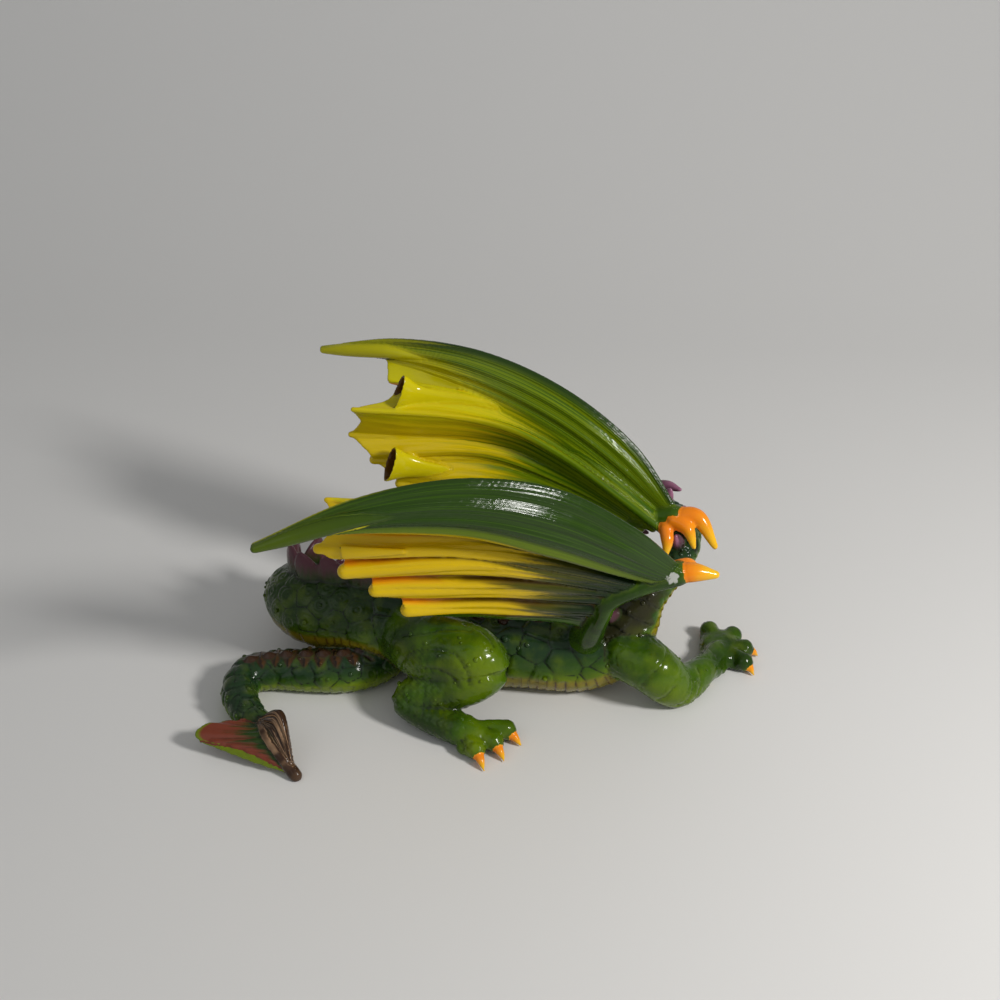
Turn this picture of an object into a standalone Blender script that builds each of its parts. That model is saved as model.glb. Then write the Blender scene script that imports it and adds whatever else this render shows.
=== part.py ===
"""A sprawling winged dragon, cast in one piece. Metres, +Z up.

The dragon lies on its belly along X, with its chest towards +X and its right side towards -Y.
Its neck bends round the left wing, so the head looks back past it. The tail base rises, loops
on the left side, returns under itself and ends in a spade out on the right. Both wings are held
up and back, with a broad leading band and a pleated membrane under it.

Every form is a closed shell. The shells are joined by a voxel remesh into one casting, which is
thinned to a few thousand triangles and cut flat where it stands.
"""

import math

import bmesh
import bpy
import numpy as np
from mathutils import Matrix, Vector

NAME = "dragon"

# Casting
VOXEL = 0.0014
TRIANGLES = 9400
SMOOTHING_COUNT = 2
POINT_SPACING = 0.004
GROUND = 0.0

# Body, from the head joint over the back to the tail's end: x, y, z, radius
BODY = [
    (0.106, 0.053, 0.084, 0.0090),
    (0.117, 0.043, 0.082, 0.0090),
    (0.120, 0.030, 0.077, 0.0092),
    (0.112, 0.016, 0.070, 0.0098),
    (0.099, 0.004, 0.058, 0.0118),
    (0.091, -0.002, 0.042, 0.0160),
    (0.082, -0.004, 0.028, 0.0200),
    (0.060, -0.004, 0.021, 0.0230),
    (0.030, -0.003, 0.021, 0.0230),
    (0.000, -0.003, 0.021, 0.0225),
    (-0.025, -0.002, 0.025, 0.0220),
    (-0.048, 0.001, 0.032, 0.0220),
    (-0.073, 0.004, 0.037, 0.0218),
    (-0.096, 0.008, 0.036, 0.0218),
    (-0.109, 0.025, 0.032, 0.0190),
    (-0.103, 0.043, 0.025, 0.0155),
    (-0.086, 0.050, 0.018, 0.0140),
    (-0.066, 0.044, 0.014, 0.0135),
    (-0.053, 0.027, 0.012, 0.0130),
    (-0.049, 0.007, 0.012, 0.0130),
    (-0.056, -0.010, 0.012, 0.0130),
    (-0.073, -0.019, 0.012, 0.0130),
    (-0.095, -0.0205, 0.0115, 0.0125),
    (-0.115, -0.0205, 0.0105, 0.0115),
    (-0.130, -0.026, 0.0100, 0.0110),
    (-0.132, -0.042, 0.0095, 0.0100),
    (-0.124, -0.057, 0.0095, 0.0090),
    (-0.114, -0.068, 0.0110, 0.0065),
]

# Spines on the back: where a stretch starts and ends as shares of the body's length, how many
# stand there, and their height and width
SPINE_ROWS = [
    (0.005, 0.125, 5, 0.0110, 0.0085),
    (0.150, 0.235, 4, 0.0060, 0.0100),
    (0.270, 0.430, 6, 0.0080, 0.0110),
    (0.455, 0.565, 6, 0.0180, 0.0175),
    (0.590, 0.760, 9, 0.0080, 0.0085),
    (0.785, 0.945, 9, 0.0045, 0.0080),
]
SPINE_THICKNESS = 0.0052
SPINE_SINK = 0.0040
SPINE_TIP_SHARE = 0.18

# Wings. Their stations give x, distance out from the middle plane, and z, from the wrist to the tip.
# The wing is stretched so that the crest reaches out and up by the first two sizes.
WING_REACH = 0.101
WING_HEIGHT = 0.178
WING_SHEET = 0.0030
BAND_BULGE = 0.0050
BULGE_ARC = (0.4, 2.8)  # the bulge follows a sine between these angles, in radians
CREST = [
    (0.114, 0.027, 0.101),
    (0.088, 0.041, 0.135),
    (0.048, 0.051, 0.164),
    (0.000, 0.066, 0.178),
    (-0.050, 0.083, 0.175),
    (-0.098, 0.101, 0.159),
]
BAND_EDGE = [
    (0.112, 0.029, 0.092),
    (0.090, 0.038, 0.101),
    (0.045, 0.058, 0.129),
    (0.000, 0.071, 0.149),
    (-0.057, 0.089, 0.160),
    (-0.097, 0.101, 0.157),
]
BAND_JOIN = 0.83  # share of the band's length along which the membrane is joined to it

# The pleats under the band, from the uppermost down
PLEATS = [
    [(0.109, 0.024, 0.093), (0.045, 0.046, 0.136), (0.000, 0.056, 0.153), (-0.042, 0.060, 0.160)],
    [(0.106, 0.022, 0.092), (0.045, 0.039, 0.130), (0.000, 0.044, 0.147), (-0.072, 0.046, 0.150)],
    [(0.101, 0.026, 0.090), (0.045, 0.045, 0.116), (0.000, 0.054, 0.127), (-0.076, 0.057, 0.1265)],
    [(0.094, 0.028, 0.088), (0.045, 0.044, 0.107), (0.000, 0.052, 0.117), (-0.063, 0.055, 0.111)],
    [(0.084, 0.029, 0.084), (0.045, 0.040, 0.093), (0.000, 0.046, 0.096), (-0.048, 0.052, 0.097)],
    [(0.072, 0.028, 0.070), (0.045, 0.034, 0.074), (0.000, 0.039, 0.078), (-0.032, 0.046, 0.080)],
]
HEM = [(0.068, 0.022, 0.054), (0.040, 0.028, 0.063), (-0.028, 0.038, 0.071)]
# How far the valley before each pleat, and the one before the hem, is pushed out and up
VALLEY_PUSH = [
    (-0.004, -0.016),
    (0.002, -0.008),
    (-0.002, 0.000),
    (-0.013, -0.001),
    (-0.011, 0.000),
    (-0.010, 0.000),
    (0.000, 0.000),
]
VALLEY_CUT = [-0.016, 0.006, 0.014, 0.012, 0.010, 0.008, 0.000]
VALLEY_OPENING = 1.6  # how fast a valley opens behind the wrist
CUT_STEEPNESS = 6  # a high power keeps the cut close to the trailing edge
FINGER_ROOT_RADIUS = 0.0034
FINGER_TIP_RADII = [0.0016, 0.0022, 0.0016, 0.0016, 0.0042, 0.0040, 0.0040]

# Wing arm: x, out, z, radius, from inside the shoulder to the wrist
ARM = [
    (0.064, 0.010, 0.034, 0.0120),
    (0.068, 0.022, 0.050, 0.0100),
    (0.073, 0.031, 0.070, 0.0085),
    (0.078, 0.033, 0.083, 0.0080),
    (0.095, 0.031, 0.092, 0.0072),
    (0.113, 0.027, 0.098, 0.0080),
]
WING_CLAWS = [
    [(0.113, 0.026, 0.099, 0.0052), (0.125, 0.024, 0.0995, 0.0046), (0.134, 0.016, 0.089, 0.0016)],
    [(0.112, 0.023, 0.098, 0.0048), (0.120, 0.018, 0.097, 0.0040), (0.125, 0.012, 0.087, 0.0013)],
    [(0.106, 0.020, 0.093, 0.0038), (0.110, 0.014, 0.090, 0.0030), (0.112, 0.010, 0.084, 0.0012)],
]

# Right foreleg, reaching across in front of the chest
FORELEG_RIGHT = [
    (0.090, -0.014, 0.030, 0.0160),
    (0.103, -0.021, 0.026, 0.0150),
    (0.116, -0.020, 0.013, 0.0130),
    (0.124, -0.013, 0.0095, 0.0112),
    (0.133, -0.002, 0.0085, 0.0090),
    (0.140, 0.010, 0.0070, 0.0078),
    (0.144, 0.018, 0.0060, 0.0080),
]
PALM_RIGHT = (0.1465, 0.024, 0.0055)
PALM_RIGHT_SIZE = (0.0135, 0.0160, 0.0070)
TOES_RIGHT_FORE = [(0.1405, 0.004), (0.159, 0.012), (0.160, 0.024), (0.154, 0.036), (0.140, 0.040)]

# Left foreleg, folded back along the body
FORELEG_LEFT = [
    (0.086, 0.010, 0.028, 0.0160),
    (0.076, 0.026, 0.024, 0.0145),
    (0.064, 0.037, 0.012, 0.0120),
    (0.068, 0.046, 0.0090, 0.0095),
    (0.075, 0.049, 0.0070, 0.0080),
]
PALM_LEFT = (0.079, 0.052, 0.0055)
PALM_LEFT_SIZE = (0.0135, 0.0120, 0.0060)
TOES_LEFT_FORE = [(0.079, 0.040), (0.091, 0.043), (0.095, 0.052), (0.091, 0.061), (0.081, 0.066)]

# Hind legs
HIND_RIGHT = [
    (-0.036, -0.012, 0.034, 0.0190),
    (-0.018, -0.028, 0.038, 0.0215),
    (0.002, -0.037, 0.041, 0.0180),
    (0.009, -0.041, 0.035, 0.0140),
    (-0.006, -0.043, 0.026, 0.0140),
    (-0.024, -0.044, 0.020, 0.0120),
    (-0.035, -0.046, 0.015, 0.0088),
    (-0.024, -0.053, 0.011, 0.0085),
    (-0.006, -0.061, 0.010, 0.0115),
    (0.005, -0.066, 0.008, 0.0110),
]
TOES_RIGHT_HIND = [(0.008, -0.077), (0.0175, -0.0705), (0.0235, -0.0600)]
HIND_LEFT = [
    (-0.036, 0.014, 0.034, 0.0190),
    (-0.018, 0.028, 0.036, 0.0200),
    (0.002, 0.035, 0.038, 0.0170),
    (0.009, 0.038, 0.033, 0.0135),
    (-0.006, 0.041, 0.025, 0.0130),
    (-0.024, 0.043, 0.019, 0.0115),
    (-0.034, 0.046, 0.014, 0.0088),
    (-0.022, 0.052, 0.010, 0.0085),
    (-0.006, 0.058, 0.008, 0.0095),
    (0.002, 0.060, 0.007, 0.0092),
]
TOES_LEFT_HIND = [(0.019, 0.055), (0.018, 0.065), (0.009, 0.072)]
TOE_RADIUS, TOE_HEIGHT = 0.0062, 0.0058
TOE_ROOT_SHARE, TOE_WAIST_SHARE, TOE_ARCH = 0.90, 0.85, 0.0010
CLAW_LENGTH, CLAW_RADIUS = 0.0085, 0.0030
CLAW_BEND_SHARE, CLAW_WAIST_SHARE = 0.6, 0.8
CLAW_TIP_HEIGHT, CLAW_TIP_RADIUS = 0.0012, 0.0010

# Head, in its own frame: +X along the snout, +Y its left, +Z up
HEAD_PLACE = (0.091, 0.062, 0.084)
HEAD_FORWARD = (-0.76, 0.60, -0.20)
SKULL_SIZE = (0.0175, 0.0140, 0.0130)
MUZZLE = [(0.004, 0.0, -0.001, 0.0120), (0.022, 0.0, -0.002, 0.0096), (0.040, 0.0, -0.004, 0.0074)]
JAW = [(-0.004, 0.0, -0.009, 0.0085), (0.018, 0.0, -0.0145, 0.0060), (0.035, 0.0, -0.018, 0.0042)]
BROW = [(-0.002, 0.008, 0.008, 0.0036), (0.010, 0.0085, 0.0095, 0.0034), (0.019, 0.006, 0.006, 0.0022)]
HORN = [(-0.006, 0.008, 0.006, 0.0046), (-0.017, 0.011, 0.009, 0.0034), (-0.027, 0.010, 0.009, 0.0016)]
CHEEK = [(-0.004, 0.010, -0.006, 0.0044), (-0.015, 0.0155, -0.008, 0.0028), (-0.023, 0.018, -0.007, 0.0012)]
NOSTRIL, NOSTRIL_RADIUS = (0.041, 0.0036, 0.0020), 0.0028
EYE, EYE_RADIUS = (0.0105, 0.0098, 0.0045), 0.0036

# Spade at the tail's end
SPADE_ROOT = (-0.116, -0.066, 0.0125)
SPADE_POINT = (-0.090, -0.097, 0.0020)
SPADE_RIB = (-0.106, -0.084, 0.0150)
SPADE_LEFT = (-0.150, -0.077, 0.0110)
SPADE_RIGHT = (-0.099, -0.077, 0.0300)
SPADE_THICKNESS = 0.0048
SPADE_RIB_RADIUS = 0.0034

RESIN_COLOUR = (0.05, 0.17, 0.03, 1.0)
RESIN_ROUGHNESS = 0.28


def smooth_path(points, count):
    """Points evenly spaced along a Catmull-Rom curve through the given ones, of any dimension."""
    given = np.array(points, dtype=float)
    padded = np.vstack([2 * given[0] - given[1], given, 2 * given[-1] - given[-2]])
    fine = []
    steps = 24
    for i in range(len(given) - 1):
        a, b, c, d = padded[i : i + 4]
        for t in np.arange(steps) / steps:
            fine.append(
                0.5 * (2 * b + (c - a) * t + (2 * a - 5 * b + 4 * c - d) * t**2 + (3 * b - a - 3 * c + d) * t**3)
            )
    fine.append(given[-1])
    fine = np.array(fine)
    travelled = np.concatenate([[0], np.cumsum(np.linalg.norm(np.diff(fine[:, :3], axis=0), axis=1))])
    wanted = np.linspace(0, travelled[-1], count)
    return np.stack([np.interp(wanted, travelled, column) for column in fine.T], axis=1)


def keep_mesh(mesh, name):
    piece = bpy.data.objects.new(name, mesh)
    bpy.context.scene.collection.objects.link(piece)
    return piece


def tube(name, stations):
    """A round member whose radius changes along a smooth path, with a ball in each end."""
    rough_length = sum(math.dist(a[:3], b[:3]) for a, b in zip(stations, stations[1:]))
    path = smooth_path(stations, max(6, int(rough_length / POINT_SPACING)))
    curve = bpy.data.curves.new(name, "CURVE")
    curve.dimensions = "3D"
    curve.bevel_depth = 1.0
    curve.bevel_resolution = 4
    curve.use_fill_caps = True
    spline = curve.splines.new("POLY")
    spline.points.add(len(path) - 1)
    for point, (x, y, z, radius) in zip(spline.points, path):
        point.co = (x, y, z, 1.0)
        point.radius = radius
    piece = keep_mesh(curve, name)
    bpy.context.view_layer.update()
    mesh = bpy.data.meshes.new_from_object(piece.evaluated_get(bpy.context.evaluated_depsgraph_get()))
    bpy.data.objects.remove(piece)
    solid = bmesh.new()
    solid.from_mesh(mesh)
    bmesh.ops.remove_doubles(solid, verts=solid.verts, dist=1e-6)
    solid.to_mesh(mesh)
    solid.free()
    balls = [ball(name + "_end", path[i, :3], (path[i, 3],) * 3) for i in (0, -1)]
    return [keep_mesh(mesh, name)] + balls


def ball(name, place, size, turn=None):
    """An ellipsoid of the three half sizes, turned about its own centre."""
    solid = bmesh.new()
    bmesh.ops.create_uvsphere(solid, u_segments=18, v_segments=12, radius=1.0)
    matrix = Matrix.Translation(Vector(place)) @ (turn or Matrix()) @ Matrix.Diagonal((*size, 1.0))
    bmesh.ops.transform(solid, matrix=matrix, verts=solid.verts)
    mesh = bpy.data.meshes.new(name)
    solid.to_mesh(mesh)
    solid.free()
    return keep_mesh(mesh, name)


def sheet(name, lines, thickness, steps_across=4):
    """An open surface through lines of equal length, thickened by Solidify on both sides."""
    grid = np.array([smooth_path(section, (len(lines) - 1) * steps_across + 1) for section in zip(*lines)])
    rows, columns = grid.shape[:2]
    faces = [
        (r * columns + c, r * columns + c + 1, (r + 1) * columns + c + 1, (r + 1) * columns + c)
        for r in range(rows - 1)
        for c in range(columns - 1)
    ]
    mesh = bpy.data.meshes.new(name)
    mesh.from_pydata([tuple(p) for p in grid.reshape(-1, 3)], [], faces)
    piece = keep_mesh(mesh, name)
    shell = piece.modifiers.new("Thickness", "SOLIDIFY")
    shell.thickness = thickness
    shell.offset = 0.0
    return piece


def plate(name, base, along, up, width, height):
    """A flattened spine that stands on the back, as wide as it is long at its foot."""
    along = along.normalized()
    across = up.cross(along).normalized()
    turn = Matrix((along, across, up)).transposed().to_4x4()
    solid = bmesh.new()
    bmesh.ops.create_cone(
        solid, cap_ends=True, segments=10, radius1=1.0, radius2=SPINE_TIP_SHARE, depth=height + SPINE_SINK
    )
    middle = base + up * ((height - SPINE_SINK) / 2)
    size = Matrix.Diagonal((width / 2, SPINE_THICKNESS / 2, 1.0, 1.0))
    bmesh.ops.transform(solid, matrix=Matrix.Translation(middle) @ turn @ size, verts=solid.verts)
    mesh = bpy.data.meshes.new(name)
    solid.to_mesh(mesh)
    solid.free()
    return keep_mesh(mesh, name)


def spines():
    """Rows of plates along the top of the body, each standing square to it."""
    samples = 400
    path = smooth_path(BODY, samples)
    pieces = []
    for start, end, count, height, width in SPINE_ROWS:
        for share in np.linspace(start, end, count):
            i = min(max(int(share * samples), 1), samples - 2)
            along = Vector(path[i + 1, :3] - path[i - 1, :3]).normalized()
            up = (Vector((0, 0, 1)) - along * along.z).normalized()
            base = Vector(path[i, :3]) + up * path[i, 3]
            pieces.append(plate("spine", base, along, up, width, height))
    return pieces


def mirrored(points, side):
    """Wing points turned into places: side is -1 for the right wing and 1 for the left."""
    outward = side * WING_REACH / max(out for _, out, _ in CREST)
    upward = WING_HEIGHT / max(z for _, _, z in CREST)
    return [(p[0], outward * p[1], upward * p[2], *p[3:]) for p in points]


def wing(side):
    """One wing: arm, wrist claws, leading band and the pleated membrane under it."""
    stations = 40
    crest = smooth_path(CREST, stations)
    edge = smooth_path(BAND_EDGE, stations)
    middle = (crest + edge) / 2 + np.array([0, BAND_BULGE, 0]) * np.sin(np.linspace(*BULGE_ARC, stations))[:, None]
    joined = smooth_path(edge[: int(BAND_JOIN * stations)], stations)

    ridges = [joined] + [smooth_path(points, stations) for points in PLEATS] + [smooth_path(HEM, stations)]
    lines = [ridges[0]]
    along = np.linspace(0, 1, stations)[:, None]
    for before, after, (out, up), cut in zip(ridges, ridges[1:], VALLEY_PUSH, VALLEY_CUT):
        valley = (before + after) / 2 + np.array([0, out, up]) * np.minimum(1, along * VALLEY_OPENING)
        valley[:, 0] += cut * along[:, 0] ** CUT_STEEPNESS
        lines += [valley, after]

    pieces = [
        sheet("band", [mirrored(line, side) for line in (crest, middle, edge)], WING_SHEET),
        sheet("membrane", [mirrored(line, side) for line in lines], WING_SHEET),
    ]
    for points, end in zip([CREST] + PLEATS, FINGER_TIP_RADII):
        radius = np.linspace(FINGER_ROOT_RADIUS, end, len(points))
        finger = [(*point, r) for point, r in zip(mirrored(points, side), radius)]
        pieces += tube("finger", finger)
    pieces += tube("arm", mirrored(ARM, side))
    for claw in WING_CLAWS:
        pieces += tube("wing_claw", mirrored(claw, side))
    return pieces


def foot(palm, toes, knuckles_from):
    """Toes that fan out from the palm, each with a knuckle and a claw that curls to the ground."""
    pieces = []
    start = Vector(knuckles_from)
    for x, y in toes:
        knuckle = Vector((x, y, TOE_HEIGHT))
        forward = knuckle - start
        forward.z = 0
        forward.normalize()
        tip = knuckle + forward * CLAW_LENGTH
        bend = knuckle + forward * CLAW_LENGTH * CLAW_BEND_SHARE
        bend.z = TOE_HEIGHT * CLAW_WAIST_SHARE
        tip.z = CLAW_TIP_HEIGHT
        waist = (start + knuckle) / 2 + Vector((0, 0, TOE_ARCH))
        toe = [(start, TOE_ROOT_SHARE), (waist, TOE_WAIST_SHARE), (knuckle, 1)]
        pieces += tube("toe", [(*place, TOE_RADIUS * share) for place, share in toe])
        claw = [(knuckle, CLAW_RADIUS), (bend, CLAW_RADIUS * CLAW_WAIST_SHARE), (tip, CLAW_TIP_RADIUS)]
        pieces += tube("claw", [(*place, radius) for place, radius in claw])
    return pieces + palm


def legs():
    right_palm = [ball("palm", PALM_RIGHT, PALM_RIGHT_SIZE)]
    left_palm = [ball("palm", PALM_LEFT, PALM_LEFT_SIZE)]
    pieces = tube("foreleg", FORELEG_RIGHT) + tube("foreleg", FORELEG_LEFT)
    pieces += tube("hind_leg", HIND_RIGHT) + tube("hind_leg", HIND_LEFT)
    pieces += foot(right_palm, TOES_RIGHT_FORE, PALM_RIGHT)
    pieces += foot(left_palm, TOES_LEFT_FORE, PALM_LEFT)
    pieces += foot([], TOES_RIGHT_HIND, HIND_RIGHT[-1][:3])
    pieces += foot([], TOES_LEFT_HIND, HIND_LEFT[-1][:3])
    return pieces


def head():
    """Skull, muzzle, open jaw, brows, eyes, nostrils, swept-back horns and cheek spikes."""
    forward = Vector(HEAD_FORWARD).normalized()
    left = Vector((0, 0, 1)).cross(forward).normalized()
    turn = Matrix((forward, left, forward.cross(left))).transposed().to_4x4()
    place = Matrix.Translation(Vector(HEAD_PLACE)) @ turn

    def placed(stations, side=1):
        return [(*(place @ Vector((x, side * y, z))), r) for x, y, z, r in stations]

    pieces = [ball("skull", HEAD_PLACE, SKULL_SIZE, turn)]
    pieces += tube("muzzle", placed(MUZZLE)) + tube("jaw", placed(JAW))
    for side in (-1, 1):
        for stations in (BROW, HORN, CHEEK):
            pieces += tube("head_detail", placed(stations, side))
        for (x, y, z), radius in ((EYE, EYE_RADIUS), (NOSTRIL, NOSTRIL_RADIUS)):
            pieces.append(ball("head_detail", place @ Vector((x, side * y, z)), (radius,) * 3))
    return pieces


def spade():
    """The leaf at the tail's end: two lobes that fall from a raised rib."""
    rib = [SPADE_ROOT, SPADE_RIB, SPADE_POINT]
    sides = []
    for lobe in (SPADE_LEFT, SPADE_RIGHT):
        sides.append([SPADE_ROOT, lobe, SPADE_POINT])
    stations = 14
    lines = [smooth_path(points, stations) for points in (sides[0], rib, sides[1])]
    return [sheet("spade", lines, SPADE_THICKNESS)] + tube("rib", [(*p, SPADE_RIB_RADIUS) for p in rib])


def cast(pieces):
    """All shells as one mesh: remeshed, smoothed, thinned, and cut flat on the ground."""
    bpy.context.view_layer.update()
    graph = bpy.context.evaluated_depsgraph_get()
    whole = bmesh.new()
    for piece in pieces:
        shell = bpy.data.meshes.new_from_object(piece.evaluated_get(graph))
        whole.from_mesh(shell)
    bmesh.ops.recalc_face_normals(whole, faces=whole.faces)
    mesh = bpy.data.meshes.new(NAME)
    whole.to_mesh(mesh)
    whole.free()
    for piece in pieces:
        bpy.data.objects.remove(piece)

    dragon = keep_mesh(mesh, NAME)
    remesh = dragon.modifiers.new("Cast", "REMESH")
    remesh.mode = "VOXEL"
    remesh.voxel_size = VOXEL
    soften = dragon.modifiers.new("Soften", "SMOOTH")
    soften.iterations = SMOOTHING_COUNT
    settle(dragon)
    keep_largest_body(dragon.data)
    thin = dragon.modifiers.new("Thin", "DECIMATE")
    thin.ratio = TRIANGLES / sum(len(face.vertices) - 2 for face in dragon.data.polygons)
    thin.use_collapse_triangulate = True
    settle(dragon)
    stand_flat(dragon.data)
    return dragon


def settle(piece):
    """Turns the modifiers into the mesh itself."""
    bpy.context.view_layer.update()
    mesh = bpy.data.meshes.new_from_object(piece.evaluated_get(bpy.context.evaluated_depsgraph_get()))
    piece.modifiers.clear()
    piece.data = mesh


def keep_largest_body(mesh):
    """Drops the closed bubbles that crossing shells can leave inside a casting."""
    solid = bmesh.new()
    solid.from_mesh(mesh)
    solid.verts.ensure_lookup_table()
    unseen = set(solid.verts)
    bodies = []
    while unseen:
        waiting = [unseen.pop()]
        body = []
        while waiting:
            vert = waiting.pop()
            body.append(vert)
            for edge in vert.link_edges:
                other = edge.other_vert(vert)
                if other in unseen:
                    unseen.remove(other)
                    waiting.append(other)
        bodies.append(body)
    bodies.sort(key=len)
    for body in bodies[:-1]:
        bmesh.ops.delete(solid, geom=body, context="VERTS")
    solid.to_mesh(mesh)
    solid.free()


def stand_flat(mesh):
    """Cuts off what lies under the ground and closes the cuts with flat faces."""
    solid = bmesh.new()
    solid.from_mesh(mesh)
    bmesh.ops.bisect_plane(
        solid,
        geom=solid.verts[:] + solid.edges[:] + solid.faces[:],
        plane_co=(0, 0, GROUND),
        plane_no=(0, 0, 1),
        clear_inner=True,
    )
    rims = [edge for edge in solid.edges if edge.is_boundary]
    bmesh.ops.holes_fill(solid, edges=rims)
    bmesh.ops.triangulate(solid, faces=[face for face in solid.faces if len(face.verts) > 3])
    bmesh.ops.recalc_face_normals(solid, faces=solid.faces)
    solid.to_mesh(mesh)
    solid.free()


def resin():
    """Glossy painted cast resin."""
    material = bpy.data.materials.new("painted_resin")
    material.use_nodes = True
    shader = material.node_tree.nodes["Principled BSDF"]
    shader.inputs["Base Color"].default_value = RESIN_COLOUR
    shader.inputs["Roughness"].default_value = RESIN_ROUGHNESS
    shader.inputs["Metallic"].default_value = 0.0
    material.diffuse_color = RESIN_COLOUR
    return material


def main():
    for old in list(bpy.data.objects):
        bpy.data.objects.remove(old)
    pieces = tube("body", BODY) + spines() + legs() + head() + spade()
    for side in (-1, 1):
        pieces += wing(side)
    dragon = cast(pieces)
    dragon.data.materials.clear()
    dragon.data.materials.append(resin())
    dragon.data.shade_smooth()
    dragon.data.set_sharp_from_angle(angle=math.radians(50))
    parts = bpy.data.collections.new(NAME)
    bpy.context.scene.collection.children.link(parts)
    parts.objects.link(dragon)
    bpy.context.scene.collection.objects.unlink(dragon)


main()
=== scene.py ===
# %% [markdown]
# # A cast and painted dragon
#
# The real figurine is one casting in resin, painted by hand and varnished. Its form is known from the
# solid model, which is loaded first and never moved. The lesson then makes a finer skin of the same
# form: simple closed shells, fused into one surface, carved by moving its points, and painted by a
# material that reads marks stored on those points.

# %% Load the solid model as a fixed frame
import math

import bpy
import numpy as np
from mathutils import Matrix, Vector
from mathutils.kdtree import KDTree


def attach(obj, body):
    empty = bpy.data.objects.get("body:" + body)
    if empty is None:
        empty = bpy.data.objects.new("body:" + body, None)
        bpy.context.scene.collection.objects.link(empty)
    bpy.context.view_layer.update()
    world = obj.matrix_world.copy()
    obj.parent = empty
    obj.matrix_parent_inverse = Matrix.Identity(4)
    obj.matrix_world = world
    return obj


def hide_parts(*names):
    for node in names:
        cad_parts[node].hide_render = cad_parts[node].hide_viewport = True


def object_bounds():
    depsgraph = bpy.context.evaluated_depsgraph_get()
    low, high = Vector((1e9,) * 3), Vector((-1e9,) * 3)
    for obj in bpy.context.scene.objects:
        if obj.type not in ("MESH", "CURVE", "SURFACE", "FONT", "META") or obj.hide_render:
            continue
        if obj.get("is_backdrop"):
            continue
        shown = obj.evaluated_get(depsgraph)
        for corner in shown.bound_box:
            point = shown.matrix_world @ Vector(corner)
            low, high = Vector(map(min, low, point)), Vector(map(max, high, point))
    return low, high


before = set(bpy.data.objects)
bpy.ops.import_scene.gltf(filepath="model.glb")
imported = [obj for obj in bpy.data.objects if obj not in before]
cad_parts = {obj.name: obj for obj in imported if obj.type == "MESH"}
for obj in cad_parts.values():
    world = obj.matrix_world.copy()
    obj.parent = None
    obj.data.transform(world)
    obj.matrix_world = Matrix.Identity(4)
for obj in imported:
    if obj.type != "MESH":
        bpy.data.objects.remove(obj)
CAD_LOW, CAD_HIGH = (list(corner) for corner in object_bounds())
print("the solid reaches from", [round(v, 3) for v in CAD_LOW], "to", [round(v, 3) for v in CAD_HIGH])

# %% [markdown]
# Every member of the figure follows a smooth line. A Catmull-Rom curve passes through its stations, so
# a few measured places are enough. The same function takes lines with a radius or a mark as a further
# number, because it treats each column alike.

# %% Smooth lines
CURVE_STEPS = 24


def smooth_path(points, count):
    """Evenly spaced points on a Catmull-Rom curve through the given ones, of any dimension."""
    given = np.array(points, dtype=float)
    padded = np.vstack([2 * given[0] - given[1], given, 2 * given[-1] - given[-2]])
    t = np.arange(CURVE_STEPS)[:, None] / CURVE_STEPS
    fine = [
        0.5 * (2 * b + (c - a) * t + (2 * a - 5 * b + 4 * c - d) * t**2 + (3 * b - a - 3 * c + d) * t**3)
        for a, b, c, d in zip(padded, padded[1:], padded[2:], padded[3:])
    ]
    fine = np.vstack(fine + [given[-1:]])
    steps = np.linalg.norm(np.diff(fine[:, :3], axis=0), axis=1)
    travelled = np.concatenate([[0], np.cumsum(steps)])
    wanted = np.linspace(0, travelled[-1], count)
    return np.stack([np.interp(wanted, travelled, column) for column in fine.T], axis=1)


def unit(vectors):
    """The same directions with a length of one."""
    return vectors / np.maximum(np.linalg.norm(vectors, axis=-1, keepdims=True), 1e-9)


print("a smooth path through 3 points:", smooth_path([(0, 0), (1, 1), (2, 0)], 5).round(2).tolist())

# %% [markdown]
# A shell is a small closed mesh with marks. A mark is a number kept at each point: how far along the
# body it lies, whether it faces up, whether it belongs to a claw. Once the shells are fused nobody can
# tell them apart by shape, so the marks carry what the painter needs to know.

# %% Marks and shells
MARKS = (
    "run",  # share of the way along the body, or from the wing's wrist to its trailing edge
    "up",  # 1 on top of a member, -1 below
    "across",  # 1 on a member's left side, -1 on its right
    "tip",  # share of the way to the point of a claw, spine, horn or limb
    "limb",
    "spine",
    "claw",
    "head",
    "eye",
    "spade",
    "keel",  # 1 on the spade's underside
    "hollow",  # 1 inside a rolled pleat
    "down",  # on a wing: -1 at the crest, 0 at the band's lower edge, 1 at the hem
    "ridge",  # on a wing: 1 on a finger, -1 in the valley between two
    "outer",  # on a wing: 1 on the face that looks away from the other wing, -1 on the inner face
)


def shell(places, faces, **marks):
    """Points, faces and marks of one closed form. A mark that isn't given is 0."""
    places = np.array(places, float)
    full = {name: np.broadcast_to(np.asarray(marks.get(name, 0.0), float), len(places)) for name in MARKS}
    return places, faces, full


def rings_to_faces(rings, sides):
    """Quads between rings of points, and a cap on the first and the last ring."""
    faces = [
        (r * sides + s, r * sides + (s + 1) % sides, (r + 1) * sides + (s + 1) % sides, (r + 1) * sides + s)
        for r in range(rings - 1)
        for s in range(sides)
    ]
    return faces + [tuple(range(sides))[::-1], tuple(range((rings - 1) * sides, rings * sides))]


def upright(forward):
    """For each direction, the one square to it that points up most. A steep stretch keeps the last one."""
    up = np.zeros_like(forward)
    last = np.array([0.0, 0.0, 1.0])
    for i, direction in enumerate(forward):
        wanted = np.array([0.0, 0.0, 1.0]) - direction * direction[2]
        if np.linalg.norm(wanted) < 0.2:
            wanted = last - direction * direction.dot(last)
        last = up[i] = unit(wanted)
    return up


DOME = np.radians([84, 62, 40, 20])  # rings that round off the end of a member


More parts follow.
